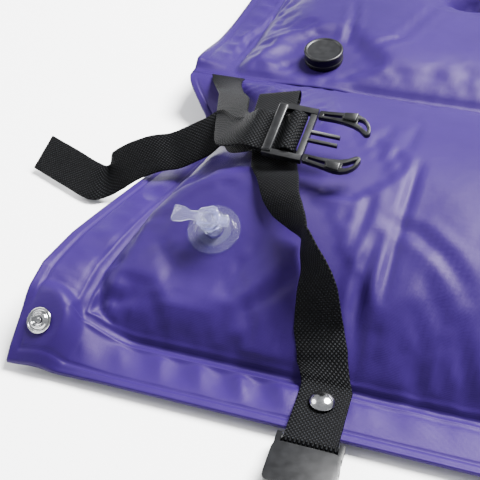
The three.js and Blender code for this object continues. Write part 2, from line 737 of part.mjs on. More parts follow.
function prong(sign) {
  const windows = prongWindows().map((shape) => plate(shape, PLUG.thick + 2));
  const blank = cut(plate(prongOutline(), PLUG.thick - 0.8), windows);
  if (sign < 0) {
    blank.rotateX(Math.PI);
  }
  return blank.translate(PLUG.ladder - 1.2, sign * (PLUG.width / 2 - 0.5), 0);
}

// Socket half: bar, two side arms and a flat shell open at its mouth.
const SOCKET = { width: 32, length: 23, thick: 9 };

function socketOutline() {
  const w = SOCKET.width / 2;
  const l = SOCKET.length;
  const shape = new THREE.Shape();
  shape.moveTo(-w + 3, -l);
  shape.lineTo(w - 3, -l);
  shape.quadraticCurveTo(w, -l, w, -l + 4);
  shape.lineTo(w, -5);
  shape.quadraticCurveTo(w - 0.5, -1.5, w - 4, -1.2);
  shape.lineTo(-w + 4, -1.2);
  shape.quadraticCurveTo(-w + 0.5, -1.5, -w, -5);
  shape.lineTo(-w, -l + 4);
  shape.quadraticCurveTo(-w, -l, -w + 3, -l);
  return shape;
}

function socketBuckle() {
  const shell = plate(socketOutline(), SOCKET.thick, 4).translate(0, -3.6, 0);
  const arms = [-1, 1].map((sign) => box(2.6, 8, 4.4, sign * (SOCKET.width / 2 - 1.4), -1.6, 0));
  const bar = new THREE.CylinderGeometry(BUCKLE_BAR.radius, BUCKLE_BAR.radius, SOCKET.width - 1, 12)
    .rotateZ(Math.PI / 2);
  const solid = join([shell, ...arms, bar]);
  const mouth = box(SOCKET.width - 6, 20, 5.2, 0, -18, 0);
  const windows = [-1, 1].map((sign) => box(6, 10, 5.2, sign * SOCKET.width / 2, -15.5, 0));
  return cut(solid, [mouth, ...windows]);
}

// ---------------------------------------------------------------- free webbing

// Webbing from under the mat's edge: over the pillow's shoulder, mitred across,
// through the ladder and back beneath itself to a loose tail beside the pillow.
function onBuckle(x, y, z) {
  return new THREE.Vector3(x, y, z).applyMatrix4(MALE);
}

function turnedByBuckle(x, y, z) {
  return new THREE.Vector3(x, y, z).transformDirection(MALE);
}

function freeWebbing() {
  const across = turnedByBuckle(0, 1, 0).multiplyScalar(HALF_WEBBING);
  const above = turnedByBuckle(0, 0, 1);
  const start = facing([
    [[-271, -649.5, 28.7], [12.4, 0, 0]],
    [[-267, -664, 33], [11.6, -2.5, 2.8]],
    [[-258, -688, 42], [10.5, -5, 5]],
    [[-248, -714, 53], [10.2, -5.5, 4.8]],
    [[-238, -742, 61], [9.6, 3, 5]],
    [[-228, -774, 66], [6, 13, 4]],
  ], 1);
  const toBuckle = [
    station(onBuckle(-14, 0.5, -3.4), across, above),
    station(onBuckle(-6, 0, -3.4), across, above),
    station(onBuckle(2.4, 0, -3.4), across, above),
    station(onBuckle(6.6, 0, 0.6), across, turnedByBuckle(-0.6, 0, 1)),
    station(onBuckle(9, 0, 3.2), across, turnedByBuckle(-0.4, 0, 1)),
    station(onBuckle(12, 0, 3.2), across, turnedByBuckle(0.4, 0, 1)),
    station(onBuckle(14.6, 0, 1), across, turnedByBuckle(1, 0, 0.3)),
    station(onBuckle(14.6, 0, -2.2), across, turnedByBuckle(1, 0, -0.3)),
    station(onBuckle(11.5, 0, -5), across, turnedByBuckle(0.3, 0, -1)),
    station(onBuckle(4, 0, -5.7), across, above.clone().negate()),
    station(onBuckle(-8, 0, -6), across, above.clone().negate()),
  ];
  const tail = facing([
    [[-226, -776, 63], [-1, 11.4, 5]],
    [[-240, -756, 54], [-3, 9.5, 6.5]],
    [[-249, -758, 47], [-4, 8.6, 7.4]],
    [[-258, -761, 42], [-5, 8.5, 7]],
    [[-269, -763, 36], [-5.5, 8.2, 7]],
    [[-281, -765, 33], [-6, 8, 7.2]],
    [[-295, -767, 26], [-6.5, 7.6, 7.4]],
    [[-306, -768, 17.5], [-6.5, 7, 8]],
    [[-312, -771, 10.5], [-2, 8, 7]],
    [[-320, -775, 10.5], [2, 8.6, 8.4]],
    [[-345, -764, 10.8], [4, 8.3, 8.4]],
    [[-367, -754, 11], [4, 8.3, 8.4]],
  ], 1);
  return ribbon([...start, ...toBuckle, ...tail].reverse(), WEBBING_THICKNESS);
}

// ---------------------------------------------------------------- strap sets

function mirrored(geometry) {
  const flipped = geometry.index ? geometry.clone() : mergeVertices(geometry);
  flipped.scale(-1, 1, 1);
  const index = Array.from(flipped.index.array);
  for (let k = 0; k < index.length; k += 3) {
    [index[k], index[k + 1]] = [index[k + 1], index[k]];
  }
  return geometryFrom(Array.from(flipped.attributes.position.array), index);
}

function strapSet(side) {
  const flip = side === 'right' ? mirrored : (geometry) => geometry;
  const rivetFrame = siteFrame(RIVETS[0]);
  const post = rod(POST_HOLE, -8, 12, 10).applyMatrix4(rivetFrame);
  const add = (name, geometry, look) => place(`${side}_${name}`, flip(geometry), look);
  add('strap_fixed_webbing', cut(fixedWebbing(), [post]), 'webbing');
  add('strap_free_webbing', freeWebbing(), 'webbing');
  add('plug_buckle_frame', ladderFrame().applyMatrix4(MALE), 'plastic');
  add('plug_buckle_upper_prong', prong(1).applyMatrix4(MALE), 'plastic');
  add('plug_buckle_lower_prong', prong(-1).applyMatrix4(MALE), 'plastic');
  add('socket_buckle', socketBuckle().translate(-RIVET.x, BUCKLE_BAR.y, BUCKLE_BAR.z), 'plastic');
  const seatHeight = SEAM_HALF_GAP + SKIN + GAP;
  const webbingTop = seatHeight + 2 * LAYER + GAP;
  const dome = turned([[POST_RADIUS + GAP, webbingTop], [5.2, webbingTop], [6.3, webbingTop + 0.5],
    [6, webbingTop + 1.5], [4.6, webbingTop + 2.6], [2.4, webbingTop + 3.2], [0, webbingTop + 3.4],
    [0, webbingTop + 2.2], [POST_RADIUS + GAP, webbingTop + 2.2], [POST_RADIUS + GAP, webbingTop]], 14);
  add('strap_rivet_cap', dome.applyMatrix4(rivetFrame), 'chrome');
  const rivetBack = turned([[0, -seatHeight - 1.4], [5, -seatHeight - 1.4], [5.6, -seatHeight - 0.9],
    [5.6, -seatHeight], [POST_RADIUS, -seatHeight], [POST_RADIUS, webbingTop + 1.9],
    [0, webbingTop + 1.9]], 10);
  add('strap_rivet_back', rivetBack.applyMatrix4(rivetFrame), 'chrome');
}

// ---------------------------------------------------------------- assembly

for (const valve of [PILLOW_VALVE, MAT_VALVE]) {
  const surface = SEAM_HALF_GAP + SKIN;
  const at = new THREE.Vector3(valve.x, valve.y, valve.z).addScaledVector(valve.normal, surface);
  valve.frame = seatFrame(at, valve.normal);
}

pillowSkins();
matSkins();
foamCore();
matValve();
pillowValve();
snaps();
strapSet('left');
strapSet('right');

export default product;
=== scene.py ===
"""Looks of a self-inflating sleeping mat with an attached inflatable pillow.

The shapes are worked out in millimetres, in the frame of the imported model, and
turned into metres when a mesh is made.
"""

import bisect
import json
import math

import bmesh
import bpy
import numpy as np
from mathutils import Matrix, Vector, noise


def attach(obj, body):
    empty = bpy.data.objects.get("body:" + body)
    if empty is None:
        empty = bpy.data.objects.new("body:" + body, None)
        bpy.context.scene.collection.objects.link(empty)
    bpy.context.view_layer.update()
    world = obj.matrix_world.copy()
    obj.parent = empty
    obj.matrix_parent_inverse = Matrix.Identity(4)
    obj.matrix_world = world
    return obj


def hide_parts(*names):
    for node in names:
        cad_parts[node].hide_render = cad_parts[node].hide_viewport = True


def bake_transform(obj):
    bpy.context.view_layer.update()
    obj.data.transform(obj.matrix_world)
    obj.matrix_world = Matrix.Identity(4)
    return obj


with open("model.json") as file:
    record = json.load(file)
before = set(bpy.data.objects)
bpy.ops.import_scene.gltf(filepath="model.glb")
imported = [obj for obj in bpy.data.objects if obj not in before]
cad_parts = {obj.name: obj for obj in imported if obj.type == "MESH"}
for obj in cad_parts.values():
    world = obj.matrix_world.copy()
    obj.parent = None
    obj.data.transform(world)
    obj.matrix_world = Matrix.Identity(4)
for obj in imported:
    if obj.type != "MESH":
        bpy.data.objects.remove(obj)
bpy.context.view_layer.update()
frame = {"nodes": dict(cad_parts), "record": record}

MM = 0.001

# ---- driving sizes

HALF_WIDTH = 300.0
Y_HEAD = -925.0
Y_FOOT = 925.0
Y_FOLD = -645.0
FLANGE = 30.0
FOLD_LAND = 4.0
FOLD_HEIGHT = 26.0
FOLD_GAP = 0.5
MAT_HEIGHT = 42.0
PILLOW_HEIGHT = 62.0
MAT_SEAM = 20.0
HEAD_SEAM = 5.0
PILLOW_TAPER = 36.0
FOLD_FLARE = 50.0
WEBBING_HALF = 12.5
WEBBING_THICKNESS = 1.4

CHAMBER_HALF = HALF_WIDTH - FLANGE
PILLOW_NEAR = Y_HEAD + FLANGE
PILLOW_FAR = Y_FOLD - FOLD_LAND
MAT_NEAR = Y_FOLD + FOLD_LAND
MAT_FAR = Y_FOOT - FLANGE

# The welded edge is two skins, each standing this far off the seam's middle.
EDGE_HALF = 0.75
SEAT_RISE = 1.15


# ---- small helpers

def clamp01(value):
    return min(1.0, max(0.0, value))


def mix(a, b, k):
    return a + (b - a) * k


def smooth(low, high, value):
    k = clamp01((value - low) / (high - low))
    return k * k * (3 - 2 * k)


def along(knots, place):
    """Value along [place, value] knots, straight between them."""
    return float(np.interp(place, [k[0] for k in knots], [k[1] for k in knots]))


def bump(distance, width):
    """1 on a line and 0 beyond `width` from it."""
    k = clamp01(1 - abs(distance) / width)
    return k * k * (3 - 2 * k)


def wander(x, y, size, seed):
    """Smooth noise from -1 to 1 that changes over `size`."""
    return noise.noise(Vector((x / size, y / size, seed)))


def unit(vector):
    return Vector(vector).normalized()


# ---- soft shapes

PILLOW_VALVE = {"at": Vector((-217, -840, 43)), "normal": unit((-0.05, -0.44, 0.89))}
MAT_VALVE = {"at": Vector((-209, -615, 33.5)), "normal": unit((-0.03, -0.19, 0.98))}
CORNER_SEAT = {"at": Vector((287, -908, 20)), "normal": unit((0.15, -0.6, 0.78))}


def seated(height, x, y, seat, flat=24.0, blended=46.0):
    """The height field brought onto the flat seat of a valve or stud."""
    at, normal = seat["at"], seat["normal"]
    dx, dy = x - at.x, y - at.y
    blend = 1 - smooth(flat, blended, math.hypot(dx, dy))
    plane = at.z - (normal.x * dx + normal.y * dy) / normal.z
    return mix(height, plane, blend)


def swell(distance, reach, fullness):
    """Rise of a blown-up chamber, 0 at its weld and 1 at its crown."""
    rest = 1 - clamp01(distance / reach)
    return (1 - rest * rest) ** fullness


def crown(a, b):
    """Two swellings joined: full only where both are, with a soft ridge between."""
    total = (1 - a) ** 3 + (1 - b) ** 3
    return max(0.0, 1 - total ** (1 / 3))


def full_half(_y):
    return HALF_WIDTH


def pillow_half(y):
    drawn = PILLOW_TAPER * clamp01((y - Y_HEAD) / (Y_FOLD - Y_HEAD)) ** 1.7
    return HALF_WIDTH - drawn * (1 - smooth(Y_FOLD - FOLD_FLARE, PILLOW_FAR, y))


# Height of the pillow's side seam from head to fold: at the weld and at the raw edge.
SIDE_WELD = [(-925, 4), (-896, 20), (-870, 28), (-830, 26), (-780, 20), (-700, 17), (-649, 24)]
SIDE_EDGE = [(-925, 4), (-912, 17), (-900, 27), (-880, 33), (-850, 31), (-800, 22), (-745, 13),
             (-690, 12), (-649, 18)]


def pillow_seam(x, y):
    half = pillow_half(y)
    outward = clamp01((abs(x) - (half - FLANGE)) / FLANGE)
    side = mix(along(SIDE_WELD, y), along(SIDE_EDGE, y), outward)
    end = mix(HEAD_SEAM, FOLD_HEIGHT, clamp01((y - PILLOW_NEAR) / (PILLOW_FAR - PILLOW_NEAR)))
    reach = abs(x) * HALF_WIDTH / half
    seam = mix(end, side, smooth(CHAMBER_HALF - 30, CHAMBER_HALF + 8, reach))
    seam = mix(seam, FOLD_HEIGHT, smooth(PILLOW_FAR - 30, PILLOW_FAR, y))
    return seated(seam, abs(x), y, CORNER_SEAT, flat=11.5, blended=22.0)


def pillow_inset(x, y):
    """Distance from the pillow's weld, positive in the chamber."""
    return min(pillow_half(y) - FLANGE - abs(x), y - PILLOW_NEAR, PILLOW_FAR - y)


PILLOW_SHOULDER = 75.0
SIDE_FULLNESS = 0.65
PILLOW_END_FULLNESS = 0.85


def pillow_top(x, y):
    from_side = pillow_half(y) - FLANGE - abs(x)
    from_end = min(y - PILLOW_NEAR, PILLOW_FAR - y)
    rise = crown(swell(from_side, PILLOW_SHOULDER, SIDE_FULLNESS),
                 swell(from_end, (PILLOW_FAR - PILLOW_NEAR) / 2, PILLOW_END_FULLNESS))
    return seated(mix(pillow_seam(x, y), PILLOW_HEIGHT, rise), x, y, PILLOW_VALVE)


def mat_seam(x, y):
    from_fold = y - Y_FOLD
    body = mix(FOLD_HEIGHT, MAT_SEAM, smooth(0, 70, from_fold))
    curl = smooth(4, 12, from_fold) * (1 - smooth(12, 110, from_fold))
    return body + 6 * curl * smooth(CHAMBER_HALF, HALF_WIDTH, abs(x))


def mat_inset(x, y):
    """Distance from the mat's weld, positive in the chamber."""
    return min(CHAMBER_HALF - abs(x), y - MAT_NEAR, MAT_FAR - y)


# Where the mat's two skins are welded together: rows of two and one by turns.
FIRST_DOT_Y = -485
DOT_SPACING = 245
DOT_ROWS = 6
DOT_X = 115
DOT_RADIUS = 12.5
DOT_SITES = [(x, FIRST_DOT_Y + DOT_SPACING * row) for row in range(DOT_ROWS)
             for x in ((-DOT_X, DOT_X) if row % 2 == 0 else (0,))]


def dot_distance(x, y):
    return min(math.hypot(x - sx, y - sy) for sx, sy in DOT_SITES)


MAT_SHOULDER = 55.0


def mat_top(x, y):
    side = swell(CHAMBER_HALF - abs(x), MAT_SHOULDER, SIDE_FULLNESS)
    end = swell(min(y - MAT_NEAR, MAT_FAR - y), MAT_SHOULDER, SIDE_FULLNESS)
    height = mix(mat_seam(x, y), MAT_HEIGHT, crown(side, end))
    height = seated(height, x, y, MAT_VALVE)
    return mix(MAT_SEAM, height, swell(dot_distance(x, y) - DOT_RADIUS, 24, 0.6))


def underside(seam, inset):
    """Lower skin: down from the seam to the ground."""
    return seam * (1 - smooth(0, 35, inset))


def mat_bottom(x, y):
    return mix(MAT_SEAM, underside(mat_seam(x, y), mat_inset(x, y)),
               swell(dot_distance(x, y) - DOT_RADIUS, 30, 0.8))


def pillow_bottom(x, y):
    return underside(pillow_seam(x, y), pillow_inset(x, y))


def normal_of(height, x, y, step=4.0):
    dx = (height(x + step, y) - height(x - step, y)) / (2 * step)
    dy = (height(x, y + step) - height(x, y - step)) / (2 * step)
    return unit((-dx, -dy, 1))


def axes_frame(x, y, z, at):
    """A frame with the given axes, standing at a point."""
    m = Matrix((x, y, z)).transposed().to_4x4()
    m.translation = at
    return m


def seat_frame(at, normal):
    """A frame standing on a soft surface, Z along the normal."""
    z = normal.normalized()
    x = Vector((0, 1, 0)).cross(z).normalized()
    return axes_frame(x, z.cross(x), z, at)


def site_frame(x, y, seam):
    return seat_frame(Vector((x, y, seam(x, y))), normal_of(seam, x, y))


HEAD_SNAP_X = 287
HEAD_SNAP_Y = -908
MAT_SNAP_X = 285
MAT_SNAP_Y = {"mid_head": -300, "mid_foot": 300, "foot": 910}
RIVET_X = 141
RIVET_Y = -909

SNAP_SITES = {}
for side, sign in (("left", -1), ("right", 1)):
    SNAP_SITES[f"{side}_head"] = (sign * HEAD_SNAP_X, HEAD_SNAP_Y, pillow_seam)
    for station, snap_y in MAT_SNAP_Y.items():
        SNAP_SITES[f"{side}_{station}"] = (sign * MAT_SNAP_X, snap_y, mat_seam)
RIVET_SITES = {"left": (-RIVET_X, RIVET_Y, pillow_seam), "right": (RIVET_X, RIVET_Y, pillow_seam)}
HARDWARE = [site[:2] for site in (*SNAP_SITES.values(), *RIVET_SITES.values())]


# ---- meshes

def placed(name, data):
    """A new object in the scene."""
    thing = bpy.data.objects.new(name, data)
    bpy.context.scene.collection.objects.link(thing)
    return thing


def mesh_object(name, vertices, faces):
    """A new object from points in millimetres."""
    mesh = bpy.data.meshes.new(name)
    mesh.from_pydata([tuple(c * MM for c in v) for v in vertices], [], faces)
    mesh.update()
    mesh.polygons.foreach_set("use_smooth", [True] * len(mesh.polygons))
    return placed(name, mesh)


def dress(piece, body, material, slot, *nodes):
    """Give a piece its material and body, and hide the CAD nodes it stands for. The slot is not used."""
    piece.data.materials.clear()
    piece.data.materials.append(material)
    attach(piece, body)
    if nodes:
        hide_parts(*nodes)
    return piece


def grid_faces(wide, deep, flip=False):
    faces = []
    for j in range(deep - 1):
        for i in range(wide - 1):
            a = j * wide + i
            quad = (a, a + 1, a + 1 + wide, a + wide)
            faces.append(quad[::-1] if flip else quad)
    return faces


def graded(knots):
    """Grid lines from (place, spacing) knots: each spacing holds up to its place."""
    lines = [knots[0][0]]
    for place, spacing in knots[1:]:
        start = lines[-1]
        count = max(1, round((place - start) / spacing))
        lines += [start + (place - start) * k / count for k in range(1, count + 1)]
    return lines


def skin(name, columns, rows, half_at, height, up, push=None):
    """A height field whose rim is closed by a short skirt towards the seam."""
    points = []
    for y in rows:
        stretch = half_at(y) / HALF_WIDTH
        for column in columns:
            x = column * stretch
            at = Vector((x, y, height(x, y)))
            points.append(at + push(column, y) if push else at)
    wide, deep = len(columns), len(rows)
    faces = grid_faces(wide, deep, flip=not up)
    rim = list(range(wide))
    rim += [j * wide + wide - 1 for j in range(1, deep)]
    rim += [(deep - 1) * wide + i for i in range(wide - 2, -1, -1)]
    rim += [j * wide for j in range(deep - 2, 0, -1)]
    first = len(points)
    for k in rim:
        x, y, z = points[k]
        points.append((x, y, z - EDGE_HALF if up else z + EDGE_HALF))
    count = len(rim)
    for k in range(count):
        a, b = rim[k], rim[(k + 1) % count]
        c, d = first + (k + 1) % count, first + k
        faces.append((b, a, d, c) if up else (a, b, c, d))
    return mesh_object(name, points, faces)


def tube_faces(rings, count):
    """Walls between rings of `count` points, closed at both ends."""
    faces = []
    for r in range(rings - 1):
        for c in range(count):
            d = (c + 1) % count
            faces.append((r * count + c, r * count + d, (r + 1) * count + d, (r + 1) * count + c))
    faces.append(tuple(range(count))[::-1])
    faces.append(tuple((rings - 1) * count + c for c in range(count)))
    return faces


def facing_out(piece):
    """The piece with doubled points joined and every face turned outwards."""
    build = bmesh.new()
    build.from_mesh(piece.data)
    bmesh.ops.remove_doubles(build, verts=build.verts, dist=1e-6)
    bmesh.ops.recalc_face_normals(build, faces=build.faces)
    build.to_mesh(piece.data)
    build.free()
    return piece


# Points nearer the axis than this stay round when a piece has lobes.
LOBES_START = 4.0


def lathe(name, profile, matrix, segments=64, lobes=0, lobe_depth=0.0):
    """A turned piece: profile of (radius, height), with lobes round its rim if asked."""
    points = []
    faces = []
    rings = []
    for radius, height in profile:
        if radius < 1e-6:
            rings.append([len(points)])
            points.append(matrix @ Vector((0, 0, height)))
            continue
        start = len(points)
        for k in range(segments):
            angle = 2 * math.pi * k / segments
            reach = radius * (1 + lobe_depth * math.cos(lobes * angle)) if radius > LOBES_START else radius
            points.append(matrix @ Vector((reach * math.cos(angle), reach * math.sin(angle), height)))
        rings.append(list(range(start, start + segments)))
    for low, high in zip(rings, rings[1:]):
        for k in range(segments):
            n = (k + 1) % segments
            if len(low) == 1 and len(high) > 1:
                faces.append((low[0], high[n], high[k]))
            elif len(high) == 1 and len(low) > 1:
                faces.append((low[k], low[n], high[0]))
            elif len(low) > 1:
                faces.append((low[k], low[n], high[n], high[k]))
    return facing_out(mesh_object(name, points, faces))


def rounded(profile, radius=0.35, steps=3):
    """The profile with every corner between its two ends rounded off."""
    result = [profile[0]]
    for before, corner, after in zip(profile, profile[1:], profile[2:]):
        p, c, n = Vector(before), Vector(corner), Vector(after)
        back = (p - c).length
        ahead = (n - c).length
        reach = min(radius, back * 0.45, ahead * 0.45)
        if reach < 1e-4:
            result.append(corner)
            continue
        a = c + (p - c) / back * reach
        b = c + (n - c) / ahead * reach
        for k in range(steps + 1):
            t = k / steps
            q = a * (1 - t) ** 2 + c * 2 * t * (1 - t) + b * t * t
            result.append((q.x, q.y))
    result.append(profile[-1])
    return result


def block(name, outline, low, high, matrix, bevel):
    """A flat piece with rounded edges, standing between two heights."""
    count = len(outline)
    points = [matrix @ Vector((x, y, z)) for z in (low, high) for x, y in outline]
    faces = [(k, (k + 1) % count, count + (k + 1) % count, count + k) for k in range(count)]
    faces += [tuple(range(count))[::-1], tuple(range(count, 2 * count))]
    return softened(facing_out(mesh_object(name, points, faces)), bevel)


def softened(piece, bevel):
    """The piece with its sharp edges rounded when it is drawn."""
    rounding = piece.modifiers.new("rounding", "BEVEL")
    rounding.width = bevel * MM
    rounding.segments = 3
    rounding.limit_method = "ANGLE"
    rounding.angle_limit = math.radians(28)
    return piece


def refined(node, bevel):
    """A copy of a CAD node with its flat faces merged and its edges rounded."""
    source = frame["nodes"][node]
    mesh = source.data.copy()
    build = bmesh.new()
    build.from_mesh(mesh)
    bmesh.ops.remove_doubles(build, verts=build.verts, dist=1e-5)
    bmesh.ops.dissolve_limit(build, angle_limit=math.radians(3), verts=build.verts, edges=build.edges)
    build.to_mesh(mesh)
    build.free()
    mesh.polygons.foreach_set("use_smooth", [True] * len(mesh.polygons))
    return softened(placed(node + "_fine", mesh), bevel)


# ---- materials

def tree(name):
    """A new material with its node tree and its main shader."""
    material = bpy.data.materials.new(name)
    material.use_nodes = True
    return material, material.node_tree, material.node_tree.nodes["Principled BSDF"]


def add(look, kind, **values):
    node = look.nodes.new(kind)
    for key, value in values.items():
        setattr(node, key, value)
    return node


def set_inputs(node, values):
    for name, value in values.items():
        node.inputs[name].default_value = value


def object_place(look):
    return add(look, "ShaderNodeTexCoord").outputs["Object"]


def noise_texture(look, source, scale, detail=3.0, roughness=0.5):
    texture = add(look, "ShaderNodeTexNoise")
    set_inputs(texture, {"Scale": scale, "Detail": detail, "Roughness": roughness})
    look.links.new(source, texture.inputs["Vector"])
    return texture.outputs["Fac"]


def coloured(look, shader, factor, stops):
    """The shader's colour run through stops of (place, colour) by a factor."""
    node = add(look, "ShaderNodeValToRGB")
    elements = node.color_ramp.elements
    while len(elements) < len(stops):
        elements.new(0.5)
    for element, (place, colour) in zip(elements, stops):
        element.position = place
        element.color = (*colour, 1)
    look.links.new(factor, node.inputs["Fac"])
    look.links.new(node.outputs["Color"], shader.inputs["Base Color"])


def maths(look, operation, a, b=None):
    node = add(look, "ShaderNodeMath", operation=operation)
    for socket, value in zip(node.inputs, (a, b)):
        if isinstance(value, (int, float)):
            socket.default_value = value
        elif value is not None:
            look.links.new(value, socket)
    return node.outputs[0]


def bumped(look, shader, height, distance, strength=1.0):
    node = add(look, "ShaderNodeBump")
    set_inputs(node, {"Strength": strength, "Distance": distance})
    look.links.new(height, node.inputs["Height"])
    look.links.new(node.outputs["Normal"], shader.inputs["Normal"])


def in_range(look, factor, low, high):
    node = add(look, "ShaderNodeMapRange")
    set_inputs(node, {"To Min": low, "To Max": high})
    look.links.new(factor, node.inputs["Value"])
    return node.outputs["Result"]


def coated_fabric():
    """Violet fabric with a smooth coating: faint threads under a soft gloss."""
    material, look, shader = tree("coated_fabric")
    place = object_place(look)
    threads = []
    for axis in ("X", "Y"):
        wave = add(look, "ShaderNodeTexWave", bands_direction=axis)
        set_inputs(wave, {"Scale": 620.0, "Distortion": 0.4})
        look.links.new(place, wave.inputs["Vector"])
        threads.append(wave.outputs["Fac"])
    weave = maths(look, "MULTIPLY", threads[0], threads[1])
    blotch = noise_texture(look, place, 9.0, 4.0, 0.55)
    grain = noise_texture(look, place, 900.0, 2.0)
    crumple = noise_texture(look, place, 60.0, 3.0, 0.45)
    coloured(look, shader, blotch, [(0.3, (0.0125, 0.0046, 0.050)), (0.7, (0.0185, 0.0072, 0.070))])
    look.links.new(in_range(look, grain, 0.36, 0.46), shader.inputs["Roughness"])
    height = maths(look, "MULTIPLY", weave, 0.12)
    height = maths(look, "ADD", height, maths(look, "MULTIPLY", grain, 0.10))
    height = maths(look, "ADD", height, maths(look, "MULTIPLY", crumple, 1.2))
    bumped(look, shader, height, 0.0006, 0.6)
    set_inputs(shader, {
        "Specular IOR Level": 0.13,
        "Specular Tint": (0.74, 0.56, 1.0, 1),
        "Sheen Weight": 0.012,
        "Sheen Roughness": 0.4,
        "Sheen Tint": (0.5, 0.42, 0.95, 1),
    })
    return material


def black_plastic(name, roughness):
    """Moulded plastic with a fine grain and slightly rubbed high spots."""
    material, look, shader = tree(name)
    place = object_place(look)
    mottled = noise_texture(look, place, 240.0, 3.0)
    grain = noise_texture(look, place, 2400.0, 2.0)
    coloured(look, shader, mottled, [(0.35, (0.0016, 0.0017, 0.0022)), (0.7, (0.0032, 0.0034, 0.0042))])
    look.links.new(in_range(look, mottled, roughness - 0.06, roughness + 0.08), shader.inputs["Roughness"])
    bumped(look, shader, grain, 0.00008, 0.35)
    shader.inputs["Specular IOR Level"].default_value = 0.3
    return material


# Distance between two ribs of the webbing, and how steeply they slant.
RIB_SPACING = 2.1
RIB_SLANT = 0.9


def webbing_material():
    """Charcoal webbing: a diagonal lattice of ribs whose tops carry a painted highlight in the colour."""
    material, look, shader = tree("woven_webbing")
    place = add(look, "ShaderNodeAttribute", attribute_name="weave")
    axes = add(look, "ShaderNodeSeparateXYZ")
    look.links.new(place.outputs["Vector"], axes.inputs["Vector"])
    across, lengthways = axes.outputs["X"], axes.outputs["Y"]
    ribs = []
    for operation in ("ADD", "SUBTRACT"):
        slower = maths(look, "MULTIPLY", lengthways, RIB_SLANT)
        slanted = maths(look, operation, across, slower)
        turns = maths(look, "MULTIPLY", slanted, 2 * math.pi / RIB_SPACING)
        wave = maths(look, "SINE", turns)
        ribs.append(maths(look, "ADD", maths(look, "MULTIPLY", wave, 0.5), 0.5))
    lattice = maths(look, "MULTIPLY", ribs[0], ribs[1])
    knots = maths(look, "POWER", lattice, 0.7)
    fuzz = noise_texture(look, object_place(look), 1500.0, 3.0)
    # The rib tops are painted far lighter than the charcoal between them: a painted highlight, made uneven by
    # random fuzz.
    painted_rib_highlight = maths(look, "MULTIPLY", knots, in_range(look, fuzz, 0.5, 1.3))
    coloured(look, shader, painted_rib_highlight, [(0.15, (0.0004, 0.0004, 0.0006)), (0.65, (0.0018, 0.0020, 0.0026)),
                                   (1.0, (0.022, 0.024, 0.028))])
    set_inputs(shader, {"Roughness": 0.6, "Specular IOR Level": 0.06, "Sheen Weight": 0.002})
    bumped(look, shader, knots, 0.0005, 0.8)
    return material


def clear_vinyl(name, opacity):
    """Soft clear plastic with a lilac tinge."""
    material, look, shader = tree(name)
    place = object_place(look)
    cloud = noise_texture(look, place, 160.0, 2.0)
    coloured(look, shader, cloud, [(0.3, (0.70, 0.72, 0.98)), (0.7, (0.86, 0.88, 1.0))])
    look.links.new(in_range(look, cloud, 0.04, 0.12), shader.inputs["Roughness"])
    bumped(look, shader, cloud, 0.0002, 0.4)
    set_inputs(shader, {
        "IOR": 1.22,
        "Transmission Weight": 0.95,
        "Alpha": opacity,
        "Coat Weight": 0.2,
        "Coat Roughness": 0.08,
    })
    return material


def bright_chrome():
    """Plated metal with faint handling marks."""
    material, look, shader = tree("bright_chrome")
    place = object_place(look)
    marks = noise_texture(look, place, 700.0, 4.0, 0.7)
    coloured(look, shader, marks, [(0.3, (0.30, 0.30, 0.31)), (0.7, (0.46, 0.46, 0.47))])
    look.links.new(in_range(look, marks, 0.06, 0.2), shader.inputs["Roughness"])
    bumped(look, shader, marks, 0.00003, 0.3)
    shader.inputs["Metallic"].default_value = 1.0
    return material


def foam_material():
    """Open-cell foam."""
    material, look, shader = tree("open_cell_foam")
    place = object_place(look)
    cells = add(look, "ShaderNodeTexVoronoi")
    cells.inputs["Scale"].default_value = 500.0
    look.links.new(place, cells.inputs["Vector"])
    coloured(look, shader, cells.outputs["Distance"],
             [(0.0, (0.45, 0.36, 0.13)), (0.6, (0.72, 0.62, 0.28))])
    shader.inputs["Roughness"].default_value = 0.95
    bumped(look, shader, cells.outputs["Distance"], 0.0008, 0.7)
    return material


FABRIC = coated_fabric()
PLASTIC = black_plastic("moulded_plastic", roughness=0.34)
RUBBER = black_plastic("soft_rubber", roughness=0.7)
WEBBING = webbing_material()
VINYL = clear_vinyl("clear_vinyl", opacity=1.0)
THIN_VINYL = clear_vinyl("thin_clear_vinyl", opacity=0.3)
CHROME = bright_chrome()
FOAM = foam_material()

LOOK_OF_SLOT = {"fabric": FABRIC, "foam": FOAM, "black_plastic": PLASTIC, "gasket": RUBBER,
                "clear_vinyl": VINYL, "chrome": CHROME, "webbing": WEBBING}
for part in frame["record"]["subparts"]:
    bare = frame["nodes"][part["node"]]
    bare.data.materials.clear()
    bare.data.materials.append(LOOK_OF_SLOT[part["material_slot"]])


# ---- camera and light

CAMERA_AT = Vector((-99, -1174, 320.5)) * MM
CAMERA_RIGHT = unit((0.955, 0.297, 0))
CAMERA_AHEAD = unit((-0.232, 0.745, -0.625))

lens = bpy.data.cameras.new("camera")
lens.sensor_width = 36
lens.lens = 63.9
lens.clip_start = 0.01
camera = placed("camera", lens)
right = (CAMERA_RIGHT - CAMERA_AHEAD * CAMERA_RIGHT.dot(CAMERA_AHEAD)).normalized()
camera.matrix_world = axes_frame(right, right.cross(CAMERA_AHEAD), -CAMERA_AHEAD, CAMERA_AT)
bpy.context.scene.camera = camera


def area_light(name, at, aim, size, power):
    data = bpy.data.lights.new(name, "AREA")
    data.shape = "DISK"
    data.size = size
    data.energy = power
    lamp = placed(name, data)
    lamp.location = at
    lamp.rotation_mode = "QUATERNION"
    lamp.rotation_quaternion = (Vector(aim) - Vector(at)).to_track_quat("-Z", "Y")


PILLOW_MIDDLE = (0, -0.75, 0.05)
area_light("back_light", at=(0.6, 0.0, 1.75), aim=PILLOW_MIDDLE, size=1.1, power=350)
area_light("left_light", at=(-1.9, -0.7, 1.5), aim=PILLOW_MIDDLE, size=1.4, power=40)

world = bpy.data.worlds.new("studio")
world.use_nodes = True
set_inputs(world.node_tree.nodes["Background"], {"Color": (0.95, 0.97, 1.0, 1), "Strength": 0.72})
bpy.context.scene.world = world

